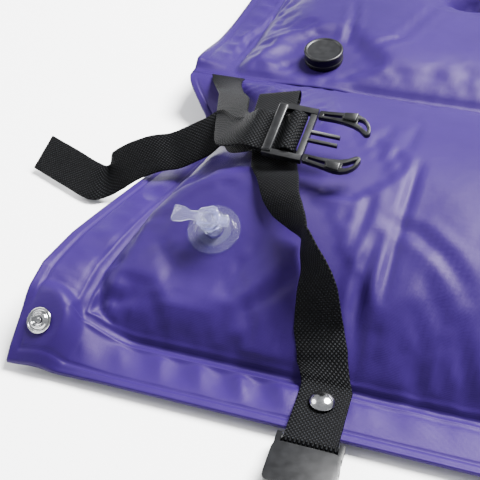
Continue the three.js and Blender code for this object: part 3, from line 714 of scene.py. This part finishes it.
FLOOR_HALF = 6
# A hair below the mat, so that the two never share a plane.
FLOOR_DROP = 0.0008
floor_corners = [(a * FLOOR_HALF, b * FLOOR_HALF, 0) for a, b in ((-1, -1), (1, -1), (1, 1), (-1, 1))]
floor_mesh = bpy.data.meshes.new("floor")
floor_mesh.from_pydata(floor_corners, [], [(0, 1, 2, 3)])
floor = placed("floor", floor_mesh)
floor_material, _, floor_shader = tree("pale_floor")
set_inputs(floor_shader, {"Base Color": (0.95, 0.95, 0.95, 1), "Roughness": 0.9})
floor_mesh.materials.append(floor_material)
floor.location.z = -FLOOR_DROP


# ---- skins

def near_hardware(x, y):
    """1 where a stud or rivet presses the fabric flat, 0 away from it."""
    nearest = min(math.hypot(x - hx, y - hy) for hx, hy in HARDWARE)
    return 1 - smooth(8, 15, nearest)


def on_seat(x, y, seat, flat=17.0, blended=26.0):
    """1 where a valve holds the fabric flat, 0 away from it."""
    return 1 - smooth(flat, blended, math.hypot(x - seat["at"].x, y - seat["at"].y))


# Long folds pressed into the blown-up covers: the route, how deep and how wide.
PILLOW_CREASES = [
    ([(-134, -832), (-135, -850), (-135, -868), (-129, -890)], 2.6, 6.0),
    ([(-129, -822), (-112, -826), (-98, -837), (-83, -852)], 1.6, 7.0),
    ([(-107, -862), (-100, -878), (-99, -893)], 2.2, 6.0),
    ([(-86, -866), (-80, -880), (-76, -893)], 2.0, 6.0),
    ([(40, -850), (46, -872), (44, -893)], 2.8, 8.0),
    ([(-168, -858), (-180, -868), (-192, -880)], 1.4, 7.0),
    ([(-270, -896), (-262, -885), (-246, -880)], 1.2, 5.0),
    ([(110, -760), (90, -800), (104, -850), (96, -892)], 3.0, 10.0),
    ([(170, -740), (190, -790), (176, -850)], 2.2, 9.0),
]
MAT_CREASES = [
    ([(-203, -528), (-198, -562), (-197, -592)], 1.8, 5.0),
    ([(-183, -606), (-158, -584), (-141, -519), (-120, -470)], 1.8, 5.5),
    ([(-276, -632), (-278, -572), (-263, -502), (-262, -420)], 2.0, 5.0),
    ([(-258, -634), (-240, -634), (-226, -618)], 1.4, 5.0),
    ([(-60, -610), (0, -570), (70, -590)], 1.6, 8.0),
    ([(120, -620), (160, -540), (210, -500)], 1.8, 7.0),
    ([(252, -560), (240, -420), (250, -300)], 2.0, 7.0),
]


def along_segment(x, y, a, b):
    """How far along a segment the nearest point is, and how far away it is."""
    dx, dy = b[0] - a[0], b[1] - a[1]
    t = clamp01(((x - a[0]) * dx + (y - a[1]) * dy) / (dx * dx + dy * dy))
    return t, math.hypot(x - a[0] - dx * t, y - a[1] - dy * t)


def crease_depth(x, y, creases):
    """Height change of the pressed folds, with a soft ridge to each side."""
    total = 0.0
    for route, depth, width in creases:
        parts = list(zip(route, route[1:]))
        nearest, place = 1e9, 0.0
        for k, (a, b) in enumerate(parts):
            t, away = along_segment(x, y, a, b)
            if away < nearest:
                nearest, place = away, (k + t) / len(parts)
        if nearest < 3 * width:
            fade = math.sin(math.pi * (0.08 + 0.84 * place))
            total -= depth * fade * (bump(nearest, width) - 0.55 * bump(nearest - width, width))
    return total


def puckers(s, inset, seed):
    """Fine gathers square to a weld, where s runs along it."""
    width = mix(15.0, 30.0, 0.5 + 0.5 * wander(s, 0, 120, seed))
    wave = 1 - 2.4 * abs(wander(s, inset * 0.25, width, seed + 5))
    strength = 0.55 + 0.9 * max(0.0, wander(s, 0, 70, seed + 9))
    if inset > 0:
        return 1.2 * wave * strength * smooth(0.5, 5, inset) * (1 - smooth(6, 34, inset))
    gather = 1 - 2.6 * abs(wander(s + 0.35 * inset, 0, 21, seed + 3))
    return 2.4 * gather * strength * smooth(4, 9, -inset) * (1 - smooth(12, 25, -inset))


def weld_line(inset):
    """Two raised lines with a pressed band between them."""
    return 0.9 * bump(inset - 1.2, 1.7) + 0.9 * bump(inset + 4.6, 1.7) - 0.4 * bump(inset + 1.7, 3.2)


HEM_INSET = 5.5


def hem_line(from_edge):
    """A pressed groove inside the raw edge and a bead along the edge itself."""
    groove = 0.9 * bump(from_edge - HEM_INSET, 1.2)
    return 0.3 * bump(from_edge - 1.0, 1.6) - groove + 0.25 * bump(from_edge - HEM_INSET + 2.4, 1.6)


def weld_place(x, y, half_at, near, far):
    """How far along the nearest weld a point is, counted round the chamber."""
    from_side = half_at(y) - FLANGE - abs(x)
    from_near = y - near
    from_far = far - y
    least = min(from_side, from_near, from_far)
    if least == from_side:
        return y + (1000 if x > 0 else -1000)
    return x + (3000 if least == from_near else -3000)


def surface_detail(inset, s, from_edge, seed, calm):
    """Height of welds, gathers and hem on top of the smooth skin."""
    detail = puckers(s, inset, seed) + weld_line(inset)
    if inset < 0:
        detail += hem_line(from_edge)
    return mix(detail, 0.0, calm)


def pillow_edge(x, y):
    return min(pillow_half(y) - abs(x), y - Y_HEAD)


def mat_edge(x, y):
    return min(HALF_WIDTH - abs(x), Y_FOOT - y)


def near_fold(y, reach=26.0):
    """1 at the fold, where both chambers pull the fabric smooth, 0 away from it."""
    return 1 - smooth(2.0, reach, abs(y - Y_FOLD))


PILLOW_SEED = 3.0
MAT_SEED = 7.0
PILLOW_BASE_SEED = 13.0
MAT_BASE_SEED = 17.0


def skin_height(x, y, top, inset, s, from_edge, valve, creases, seed):
    """Height of a cover: its smooth shape, its lift off the foam, and its detail."""
    pressed = max(near_hardware(x, y), on_seat(x, y, valve))
    calm = max(pressed, near_fold(y))
    detail = surface_detail(inset, s, from_edge, seed, calm)
    lift = mix(EDGE_HALF, SEAT_RISE, pressed)
    return top + lift + detail + crease_depth(x, y, creases) * (1 - calm)


def pillow_skin_height(x, y):
    s = weld_place(x, y, pillow_half, PILLOW_NEAR, PILLOW_FAR)
    return skin_height(x, y, pillow_top(x, y), pillow_inset(x, y), s, pillow_edge(x, y),
                       PILLOW_VALVE, PILLOW_CREASES, PILLOW_SEED)


def mat_skin_height(x, y):
    s = weld_place(x, y, full_half, MAT_NEAR, MAT_FAR)
    return skin_height(x, y, mat_top(x, y), mat_inset(x, y), s, mat_edge(x, y),
                       MAT_VALVE, MAT_CREASES, MAT_SEED)


def mirrored_lines(half_lines):
    return [-x for x in reversed(half_lines)] + [x for x in half_lines if x > 0]


# Where straps and buckles lie on the covers, on the left; the right is mirrored.
RESTING = [
    [(-141, -935), (-141, -890), (-152, -874), (-174, -845), (-190, -815), (-208, -755), (-210, -735)],
    [(-271, -650), (-250, -710), (-228, -775), (-200, -787), (-160, -790)],
    [(-226, -776), (-260, -760), (-306, -768)],
]


def under_straps(x, y):
    """1 beneath the straps and buckles, 0 away from them."""
    nearest = min(along_segment(-abs(x), y, a, b)[1]
                  for route in RESTING for a, b in zip(route, route[1:]))
    return 1 - smooth(16, 30, nearest)


# The covers are blown up as cloth, then held to small movements, in millimetres, so
# that the skins stay apart from the foam and from each other.
LAST_FRAME = 20
AIR_PRESSURE = 4.0
SPARE_CLOTH = 0.018
MOST_MOVED = 3.2
MOST_SUNK = 0.9


def blown_up(name, columns, rows, half_at, height, held):
    """How far air pressed from inside moves a cover, as a function of column and row."""
    plan = [(x * half_at(y) / HALF_WIDTH, y) for y in rows for x in columns]
    cover = mesh_object(name, [(x, y, height(x, y)) for x, y in plan], grid_faces(len(columns), len(rows)))
    pinned = cover.vertex_groups.new(name="pinned")
    for index, (x, y) in enumerate(plan):
        pinned.add([index], held(x, y), "REPLACE")
    start = [vertex.co.copy() for vertex in cover.data.vertices]
    cloth = cover.modifiers.new("cloth", "CLOTH")
    settings = cloth.settings
    settings.quality = 6
    settings.mass = 0.05
    settings.tension_stiffness = 20
    settings.compression_stiffness = 12
    settings.shear_stiffness = 5
    settings.bending_stiffness = 0.05
    settings.use_pressure = True
    settings.uniform_pressure_force = AIR_PRESSURE
    settings.shrink_min = -SPARE_CLOTH
    settings.effector_weights.gravity = 0
    settings.vertex_group_mass = "pinned"
    cloth.point_cache.frame_start = 1
    cloth.point_cache.frame_end = LAST_FRAME
    for number in range(1, LAST_FRAME + 1):
        bpy.context.scene.frame_set(number)
    settled = cover.evaluated_get(bpy.context.evaluated_depsgraph_get())
    moved = []
    for before, vertex in zip(start, settled.data.vertices):
        shift = (vertex.co - before) / MM
        shift *= min(1.0, MOST_MOVED / max(shift.length, 1e-6))
        shift.z = max(shift.z, -MOST_SUNK)
        moved.append(shift)
    bpy.data.objects.remove(cover)
    bpy.context.scene.frame_set(1)
    return carried(columns, rows, moved)


def between_lines(lines, place):
    """The grid line before a place and how far past it the place is."""
    k = min(len(lines) - 2, max(0, bisect.bisect_right(lines, place) - 1))
    return k, clamp01((place - lines[k]) / (lines[k + 1] - lines[k]))


def carried(columns, rows, moved):
    """The grid's movement at any column and row, for a finer grid to follow."""
    wide = len(columns)

    def at(column, y):
        i, across = between_lines(columns, column)
        j, down = between_lines(rows, y)
        near = moved[j * wide + i].lerp(moved[j * wide + i + 1], across)
        far = moved[(j + 1) * wide + i].lerp(moved[(j + 1) * wide + i + 1], across)
        return near.lerp(far, down)

    return at


def even(start, end, spacing):
    """Evenly spaced grid lines, with the spacing rounded to fit."""
    count = round((end - start) / spacing)
    return [start + (end - start) * k / count for k in range(count + 1)]


def pillow_held(x, y):
    """1 where the pillow's cover can't move as it is blown up, 0 where free."""
    calm = max(near_hardware(x, y), on_seat(x, y, PILLOW_VALVE, 18, 34), under_straps(x, y), near_fold(y, 30))
    return max(calm, 1 - smooth(1, 7, pillow_inset(x, y)))


def mat_held(x, y):
    """1 where the mat's cover can't move as it is blown up, 0 where free."""
    near_dot = 1 - smooth(DOT_RADIUS, DOT_RADIUS + 6, dot_distance(x, y))
    calm = max(near_hardware(x, y), on_seat(x, y, MAT_VALVE, 20, 36), near_dot, near_fold(y, 30))
    return max(calm, 1 - smooth(1, 7, mat_inset(x, y)))


PILLOW_CLOTH = 5
MAT_CLOTH = 6.5

cloth_columns = even(-HALF_WIDTH, HALF_WIDTH, PILLOW_CLOTH)
cloth_rows = even(Y_HEAD, Y_FOLD - FOLD_GAP, PILLOW_CLOTH)
pillow_push = blown_up("blowing_up_pillow", cloth_columns, cloth_rows, pillow_half, pillow_top, pillow_held)

pillow_columns = mirrored_lines(graded([(0, 1), (120, 3), (262, 2.2), (276, 0.9), (292, 1.6), (300, 0.9)]))
pillow_rows = graded([(Y_HEAD, 1), (-917, 0.8), (-901, 1.4), (-890, 0.8), (-870, 1.4), (-780, 2.2), (-680, 3),
                      (Y_FOLD - FOLD_GAP, 1.5)])
pillow_cover = skin("pillow_top_cover", pillow_columns, pillow_rows, pillow_half, pillow_skin_height, True,
                    pillow_push)
dress(pillow_cover, "pillow", FABRIC, "fabric", "pillow_top_skin")

mat_cloth_columns = even(-HALF_WIDTH, HALF_WIDTH, MAT_CLOTH)
mat_cloth_rows = even(Y_FOLD + FOLD_GAP, Y_FOOT, MAT_CLOTH)
mat_push = blown_up("blowing_up_mat", mat_cloth_columns, mat_cloth_rows, full_half, mat_top, mat_held)

mat_columns = mirrored_lines(graded([(0, 1), (180, 4.5), (255, 3), (300, 1.8)]))
mat_rows = graded([(Y_FOLD + FOLD_GAP, 1), (-560, 2), (-400, 3.5), (840, 5), (Y_FOOT, 2)])
mat_cover = skin("mat_top_cover", mat_columns, mat_rows, full_half, mat_skin_height, True, mat_push)
dress(mat_cover, "mat", FABRIC, "fabric", "mat_top_skin")


def lower(height, inset, edge, seed):
    """Height of a lower cover: under the seam, and flat on the ground."""
    def at(x, y):
        detail = 0.5 * weld_line(inset(x, y)) + (0.6 * hem_line(edge(x, y)) if inset(x, y) < 0 else 0.0)
        detail += 0.5 * wander(x, y, 25, seed) * (1 - smooth(0, 40, abs(inset(x, y))))
        return max(0.0, height(x, y) - EDGE_HALF - detail)

    return at


coarse_columns = mirrored_lines(graded([(0, 1), (200, 10), (255, 5), (300, 2.5)]))
under_rows = graded([(Y_HEAD, 1), (-870, 3), (-680, 7), (Y_FOLD - FOLD_GAP, 2.5)])
pillow_base = skin("pillow_bottom_cover", coarse_columns, under_rows, pillow_half,
                   lower(pillow_bottom, pillow_inset, pillow_edge, PILLOW_BASE_SEED), False)
dress(pillow_base, "pillow", FABRIC, "fabric", "pillow_bottom_skin")

mat_under_rows = graded([(Y_FOLD + FOLD_GAP, 1), (-600, 3), (850, 9), (Y_FOOT, 3)])
mat_base = skin("mat_bottom_cover", coarse_columns, mat_under_rows, full_half,
                lower(mat_bottom, mat_inset, mat_edge, MAT_BASE_SEED), False)
dress(mat_base, "mat", FABRIC, "fabric", "mat_bottom_skin")


# ---- webbing

# The plug buckle's own frame: X towards its prongs, Z up from its face.
PLUG_X = unit((0.996, -0.087, 0))
PLUG_TILT = Vector((0, -0.42, 0.91))
PLUG_Z = (PLUG_TILT - PLUG_X * PLUG_TILT.dot(PLUG_X)).normalized()
PLUG = axes_frame(PLUG_X, PLUG_Z.cross(PLUG_X), PLUG_Z, Vector((-200, -787, 78)))


def on_plug(x, y, z):
    return PLUG @ Vector((x, y, z))


def turned_by_plug(x, y, z):
    return PLUG.to_3x3() @ Vector((x, y, z))


# The socket buckle's bar, which the fixed webbing goes round.
BAR = Vector((0, -933, 7.4))
BAR_RADIUS = 1.7
GAP = 0.3
LAYER = WEBBING_THICKNESS + GAP
DOWN = Vector((0, 0, -1))
UP = Vector((0, 0, 1))


def strap_bed(x, y):
    """The higher of the two sides, as the straps mirror each other and the valve doesn't."""
    return max(pillow_top(x, y), pillow_top(-x, y))


def laid_on(route, lift):
    """Stations of a strap that lies along the pillow, lifted off it."""
    points = [Vector((x, y, strap_bed(x, y) + lift)) for x, y in route]
    stations = []
    for k, at in enumerate(points):
        heading = (points[min(len(points) - 1, k + 1)] - points[max(0, k - 1)]).normalized()
        normal = normal_of(strap_bed, at.x, at.y)
        normal = (normal - heading * normal.dot(heading)).normalized()
        stations.append((at, heading.cross(normal) * WEBBING_HALF, normal))
    return stations


def fixed_stations():
    """From the rivet round the socket buckle's bar, over the pillow and back."""
    x = -RIVET_X
    half = Vector((WEBBING_HALF, 0, 0))
    flat = HEAD_SEAM + SEAT_RISE + GAP + WEBBING_THICKNESS / 2
    turn = BAR_RADIUS + GAP + WEBBING_THICKNESS / 2
    stations = [(Vector((x, -897, flat)), half, DOWN), (Vector((x, -910, flat)), half, DOWN),
                (Vector((x, -926, flat - 0.2)), half, DOWN)]
    for k in range(7):
        angle = -math.pi / 2 - k * math.pi / 6
        out = Vector((0, math.cos(angle), math.sin(angle)))
        stations.append((Vector((x, BAR.y, BAR.z)) + out * turn, half, out))
    stations.append((Vector((x, -925, flat + LAYER + 0.4)), half, UP))
    stations.append((Vector((x, -901, flat + LAYER)), half, UP))
    stations.append((Vector((x - 2, -895, flat + LAYER + 3)), half, Vector((0, -0.7, 1))))
    stations += laid_on([(-146, -889), (-147, -886)], 3)
    stations += facing(TWIST, -1)
    stations += laid_on([(-196, -800), (-200, -786), (-205, -770), (-208, -755)], 3)
    return stations + fold_over()


# Over the crest the webbing stands on its left edge: centre, then the vector to
# the raised right edge.
TWIST = [
    ((-151, -878, 27), (12.1, 1.6, 2.4)), ((-155, -869, 42), (10.4, -2.4, 6.5)),
    ((-158, -862, 49.5), (7.9, -5.6, 7.9)), ((-163, -856, 56), (5.3, -6.9, 9)),
    ((-167, -850, 61), (2.4, -7.4, 9.8)), ((-172, -845, 63), (5.2, -5.8, 9.8)),
    ((-179, -837, 63.5), (8.2, -3.5, 8.8)), ((-185, -828, 65), (10.1, -2.4, 7)),
    ((-190, -815, 66), (11.6, -1.2, 4.4)),
]


def facing(route, side):
    """Stations whose upper face follows from the run and the edge vector."""
    points = [Vector(at) for at, _ in route]
    stations = []
    for k, (_, edge) in enumerate(route):
        run = points[min(len(points) - 1, k + 1)] - points[max(0, k - 1)]
        half = Vector(edge)
        stations.append((points[k], half, (run.cross(half) * side).normalized()))
    return stations


def fold_over():
    """The slack past the plug buckle: up, over and back towards it."""
    turn = 4.5
    centre = Vector((-210.5, -737, 66.5))
    half = unit((0.97, 0.16, 0.18)) * WEBBING_HALF
    stations = []
    for k in range(7):
        angle = -math.pi / 2 + k * math.pi / 6
        out = Vector((0, math.cos(angle), math.sin(angle)))
        stations.append((centre + out * turn, half, -out))
    stations.append((centre + Vector((1.5, -12, turn)), half, DOWN))
    stations.append((centre + Vector((3, -25, turn + 0.5)), half, DOWN))
    return stations


# From the fold to the plug buckle: down the pillow's flank, then folded across.
APPROACH = [
    ((-271, -649.5, 28.7), (12.4, 0, 0)), ((-267, -664, 33), (11.6, -2.5, 2.8)),
    ((-258, -688, 42), (10.5, -5, 5)), ((-248, -714, 53), (10.2, -5.5, 4.8)),
    ((-238, -742, 61), (9.6, 3, 5)), ((-228, -774, 66), (6, 13, 4)),
]
# The loose tail, standing on its edge and kinked near its end.
TAIL = [
    ((-226, -776, 63), (-1, 11.4, 5)), ((-240, -756, 54), (-3, 9.5, 6.5)),
    ((-249, -758, 47), (-4, 8.6, 7.4)), ((-258, -761, 42), (-5, 8.5, 7)),
    ((-269, -763, 36), (-5.5, 8.2, 7)), ((-281, -765, 33), (-6, 8, 7.2)),
    ((-295, -767, 26), (-6.5, 7.6, 7.4)), ((-306, -768, 17.5), (-6.5, 7, 8)),
    ((-312, -771, 10.5), (-2, 8, 7)), ((-320, -775, 10.5), (2, 8.6, 8.4)),
    ((-345, -764, 10.8), (4, 8.3, 8.4)), ((-367, -754, 11), (4, 8.3, 8.4)),
]


def free_stations():
    """Along the pillow's flank, through the plug buckle's ladder, and the tail."""
    across = turned_by_plug(0, 1, 0) * WEBBING_HALF
    ladder = [((-14, 0.5, -3.4), (0, 0, 1)), ((-6, 0, -3.4), (0, 0, 1)), ((2.4, 0, -3.4), (0, 0, 1)),
              ((6.6, 0, 0.6), (-0.6, 0, 1)), ((9, 0, 3.2), (-0.4, 0, 1)), ((12, 0, 3.2), (0.4, 0, 1)),
              ((14.6, 0, 1), (1, 0, 0.3)), ((14.6, 0, -2.2), (1, 0, -0.3)), ((11.5, 0, -5), (0.3, 0, -1)),
              ((4, 0, -5.7), (0, 0, -1)), ((-8, 0, -6), (0, 0, -1))]
    through = [(on_plug(*at), across, turned_by_plug(*lift)) for at, lift in ladder]
    return facing(APPROACH, 1) + through + facing(TAIL, 1)


def spline(a, b, c, d, t):
    """Point between b and c on the smooth curve through four values."""
    return 0.5 * ((2 * b) + (c - a) * t + (2 * a - 5 * b + 4 * c - d) * t * t
                  + (3 * b - a - 3 * c + d) * t ** 3)


# The strap's outline as (place across, height), each a share of its half size.
STRAP_TOP = [(-1.0, 0.0), (-0.985, 0.7), (-0.94, 1.0), (-0.6, 0.9), (-0.2, 1.0), (0.2, 1.0), (0.6, 0.9),
             (0.94, 1.0), (0.985, 0.7), (1.0, 0.0)]
STRAP_SECTION = STRAP_TOP + [(u, -w) for u, w in reversed(STRAP_TOP[1:-1])]
STRAP_STEP = 1.6
STRAP_FILL = 0.92


def strap_rings(stations):
    """Places along a strap: centre, half its width, lift, and distance from its start."""
    rings = []
    travelled = 0.0
    last = len(stations) - 1
    previous = None
    for k in range(last):
        a, b, c, d = (stations[min(last, max(0, i))] for i in (k - 1, k, k + 1, k + 2))
        steps = max(2, round((c[0] - b[0]).length / STRAP_STEP))
        for step in range(steps + (k == last - 1)):
            t = step / steps
            at = spline(a[0], b[0], c[0], d[0], t)
            half = b[1].lerp(c[1], t)
            lift = b[2].normalized().lerp(c[2].normalized(), t).normalized()
            if previous is not None:
                travelled += (at - previous).length
            previous = at
            rings.append((at, half, lift, travelled))
    return rings


def webbing_piece(name, stations, side):
    """A woven strap through its stations, with rounded edges and a loose weave."""
    rings = strap_rings(stations)
    points = []
    places = []
    for at, half, lift, s in rings:
        flutter = 0.25 * noise.noise(Vector((s / 18, 2.0, 0.0)))
        for u, w in STRAP_SECTION:
            edge = 1 + 0.012 * noise.noise(Vector((s / 5, u, 4.0))) * abs(u) ** 4
            rise = w * WEBBING_THICKNESS / 2 * STRAP_FILL + flutter * u * u
            points.append(at + half * (u * edge) + lift * rise)
            places.append((u * half.length, s, w))
    faces = tube_faces(len(rings), len(STRAP_SECTION))
    if side == "right":
        points = [(-p[0], p[1], p[2]) for p in points]
        faces = [face[::-1] for face in faces]
    piece = mesh_object(name, points, faces)
    weave = piece.data.attributes.new("weave", "FLOAT_VECTOR", "POINT")
    weave.data.foreach_set("vector", [c for place in places for c in place])
    return piece


for side in ("left", "right"):
    fixed = facing_out(webbing_piece(f"{side}_fixed_strap", fixed_stations(), side))
    dress(fixed, "pillow", WEBBING, "webbing", f"{side}_strap_fixed_webbing")
    free = facing_out(webbing_piece(f"{side}_free_strap", free_stations(), side))
    dress(free, "pillow", WEBBING, "webbing", f"{side}_strap_free_webbing")


# ---- buckles

for side in ("left", "right"):
    for node, body, edge in ((f"{side}_plug_buckle_frame", "pillow", 0.7),
                             (f"{side}_plug_buckle_upper_prong", f"{side}_upper_prong", 0.6),
                             (f"{side}_plug_buckle_lower_prong", f"{side}_lower_prong", 0.6),
                             (f"{side}_socket_buckle", f"{side}_socket", 0.9)):
        dress(refined(node, edge), body, PLASTIC, "black_plastic", node)

# The rounded lip along the ladder's outer bar, which the thumb lifts to let the
# webbing slip, and the raised pads on the prongs, where finger and thumb squeeze.
LIP = [(-1.7, -15.6), (3.6, -15.6), (3.6, 15.6), (-1.7, 15.6)]
PAD = [(13.8, -2.9), (21.2, -2.9), (21.4, 2.4), (13.8, 1.5)]
PRONG_START = 20.8
PRONG_EDGE = 16.5
for side, mirror in (("left", 1), ("right", -1)):
    matrix = Matrix.Diagonal((mirror, 1, 1, 1)) @ PLUG
    dress(block(f"{side}_ladder_lip", LIP, 1.5, 3.3, matrix, 1.3), "pillow", PLASTIC, "black_plastic")
    for prong, sign in (("upper", 1), ("lower", -1)):
        outline = [(x + PRONG_START, sign * (y + PRONG_EDGE)) for x, y in PAD]
        dress(block(f"{side}_{prong}_pad", outline, 1.3, 2.9, matrix, 0.7), f"{side}_{prong}_prong", PLASTIC,
              "black_plastic")


# ---- valves

def on_valve(seat):
    return seat_frame(seat["at"] + seat["normal"] * SEAT_RISE, seat["normal"])


mat_valve = on_valve(MAT_VALVE)
CAP_PROFILE = rounded([(0, 6), (10.2, 6), (10.2, 2.6), (14.2, 2.6), (14.2, 3.6), (13.8, 3.9), (13.8, 8.2),
                       (14.2, 8.6), (14.2, 9.3), (13.5, 10), (12.4, 10), (11.8, 9.5), (0, 9.5)])
dress(lathe("mat_cap_fine", CAP_PROFILE, mat_valve), "mat_valve_turning_cap", PLASTIC, "black_plastic",
      "mat_valve_cap")
RING_PROFILE = rounded([(9.9, 0.3), (13.8, 0.3), (13.8, 2.2), (9.9, 2.2), (9.9, 0.3)])
dress(lathe("mat_ring_fine", RING_PROFILE, mat_valve), "mat", PLASTIC, "black_plastic", "mat_valve_ring")

pillow_valve = on_valve(PILLOW_VALVE)
DISC_PROFILE = rounded([(9.6, 0.3), (14.2, 0.3), (14.2, 1.5), (13, 1.5), (12.6, 1.1), (9.6, 1.1), (9.6, 0.3)],
                       0.25)
dress(lathe("valve_disc_fine", DISC_PROFILE, pillow_valve), "pillow", THIN_VINYL, "clear_vinyl",
      "pillow_valve_disc")

STEM_TOP = 13.0
RIB = [(4.4, 0), (4.95, 0.4), (4.95, 0.9), (4.4, 1.3)]
RIBS = [(radius, 1.2 + 1.6 * k + step) for k in range(5) for radius, step in RIB]
STEM_PROFILE = rounded([(3.3, -5), (4.8, -5), *RIBS, (4.8, 9.4), (6.4, 9.8), (6.4, 11.4), (4.8, 11.8),
                        (4.8, STEM_TOP), (3.3, STEM_TOP), (3.3, -5)], 0.2)
dress(lathe("valve_stem_fine", STEM_PROFILE, pillow_valve), "pillow_valve_sliding_stem", VINYL, "clear_vinyl",
      "pillow_valve_stem")
EAR = [(5.2, -2.5), (10.3, -2.5), (10.3, 2.5), (5.2, 2.5)]
dress(block("valve_ear_fine", EAR, STEM_TOP - 2.9, STEM_TOP - 1.5, pillow_valve, 0.3),
      "pillow_valve_sliding_stem", VINYL, "clear_vinyl")
PLUG_PROFILE = rounded([(0, 9.4), (1.6, 9.4), (2.9, STEM_TOP), (2.9, 13.3), (6.4, 13.3), (6.4, 15),
                        (5.8, 15.8), (3.6, 15.8), (3.1, 15.1), (0, 15.1)])
dress(lathe("valve_plug_fine", PLUG_PROFILE, pillow_valve, lobes=5, lobe_depth=0.07), "pillow_valve_stopper",
      VINYL, "clear_vinyl", "pillow_valve_plug")
dress(block("valve_lug_fine", EAR, 13.3, 14.9, pillow_valve, 0.35), "pillow_valve_stopper", VINYL,
      "clear_vinyl")
PULL_TAB = [(-5, -2.8), (-10, -2.5), (-14, -4.3), (-18.6, -4.7), (-19.6, -3.8), (-19.6, 3.8), (-18.6, 4.7),
            (-14, 4.3), (-10, 2.5), (-5, 2.8)]
dress(block("valve_tab_fine", PULL_TAB, 13.5, 15, pillow_valve, 0.45), "pillow_valve_stopper", VINYL,
      "clear_vinyl")


# ---- studs and rivets

# Metal begins this far above and below the seam's middle.
FACE = 1.45
SOCKET_PROFILE = rounded([(1.8, FACE), (6.9, FACE), (6.9, 2), (6.6, 2.5), (6.1, 2.5), (5.6, 1.9), (5, 2.1),
                          (4.5, 3), (4, 3.4), (3.5, 3.3), (3.1, 2.5), (2.8, 2), (1.8, 1.9), (1.8, FACE)],
                         0.25)
STUD_PROFILE = rounded([(1.8, FACE), (6.9, FACE), (6.9, 2), (6.6, 2.4), (6, 2.4), (5.4, 1.9), (3.6, 2.3),
                        (2.6, 2.8), (3.1, 4.3), (2.9, 5), (2.3, 5.35), (1.8, 5.35), (1.8, FACE)], 0.25)
BACK_PROFILE = rounded([(0, -3.15), (5.4, -3.15), (6.3, -2.7), (6.6, -1.9), (6.6, -FACE), (1.5, -FACE),
                        (1.5, 2.3), (1.1, 2.55), (0, 2.55)], 0.25)
SPRING_PROFILE = [(2.95 + 0.33 * math.cos(k * math.pi / 4), 2.55 + 0.33 * math.sin(k * math.pi / 4))
                  for k in range(9)]

for site, (x, y, seam) in SNAP_SITES.items():
    body = "pillow" if y < Y_FOLD else "mat"
    matrix = site_frame(x, y, seam)
    kind, face = ("socket", SOCKET_PROFILE) if x < 0 else ("stud", STUD_PROFILE)
    dress(lathe(f"{site}_{kind}_fine", face, matrix), body, CHROME, "chrome", f"snap_{kind}_{site}")
    dress(lathe(f"{site}_back_fine", BACK_PROFILE, matrix), body, CHROME, "chrome", f"snap_back_{site}")
    if kind == "socket":
        dress(lathe(f"{site}_spring", SPRING_PROFILE, matrix, 40), body, CHROME, "chrome")

# The rivet's dome stands on two layers of webbing.
WEBBING_FACE = FACE + 2 * LAYER + GAP
DOME_PROFILE = [(0, 3.45), (1.2, 3.4), (2.4, 3.2), (3.6, 2.85), (4.7, 2.35), (5.6, 1.65), (6.1, 1),
                (6.3, 0.5), (6, 0.15), (5.4, 0), (1.8, 0), (1.8, 2), (0, 2)]
RIVET_BACK_PROFILE = rounded([(0, -2.85), (4.6, -2.85), (5.4, -2.4), (5.6, -1.9), (5.6, -FACE), (1.5, -FACE),
                              (1.5, 6.5), (0, 6.5)], 0.25)
for side, (x, y, seam) in RIVET_SITES.items():
    matrix = site_frame(x, y, seam)
    dome = [(radius, WEBBING_FACE + height) for radius, height in DOME_PROFILE]
    dress(lathe(f"{side}_rivet_fine", dome, matrix), "pillow", CHROME, "chrome", f"{side}_strap_rivet_cap")
    dress(lathe(f"{side}_rivet_back_fine", RIVET_BACK_PROFILE, matrix), "pillow", CHROME, "chrome",
          f"{side}_strap_rivet_back")


# ---- fold

WEB_REACH = 1.5
WEB_SECTION = [(-1, -0.75), (-1, 0.7), (-0.4, 0.9), (0.4, 0.9), (1, 0.7), (1, -0.75), (0.4, -0.9),
               (-0.4, -0.9)]
WEB_SPACING = 10


def fold_web():
    """The strip of fabric the pillow hinges on, from one side edge to the other."""
    lines = even(-HALF_WIDTH, HALF_WIDTH, WEB_SPACING)
    points = [(x, Y_FOLD + WEB_REACH * across, FOLD_HEIGHT + up)
              for x in lines for across, up in WEB_SECTION]
    faces = tube_faces(len(lines), len(WEB_SECTION))
    return facing_out(mesh_object("fold_web", points, faces))


web = fold_web()
web.data.materials.append(FABRIC)
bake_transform(web)
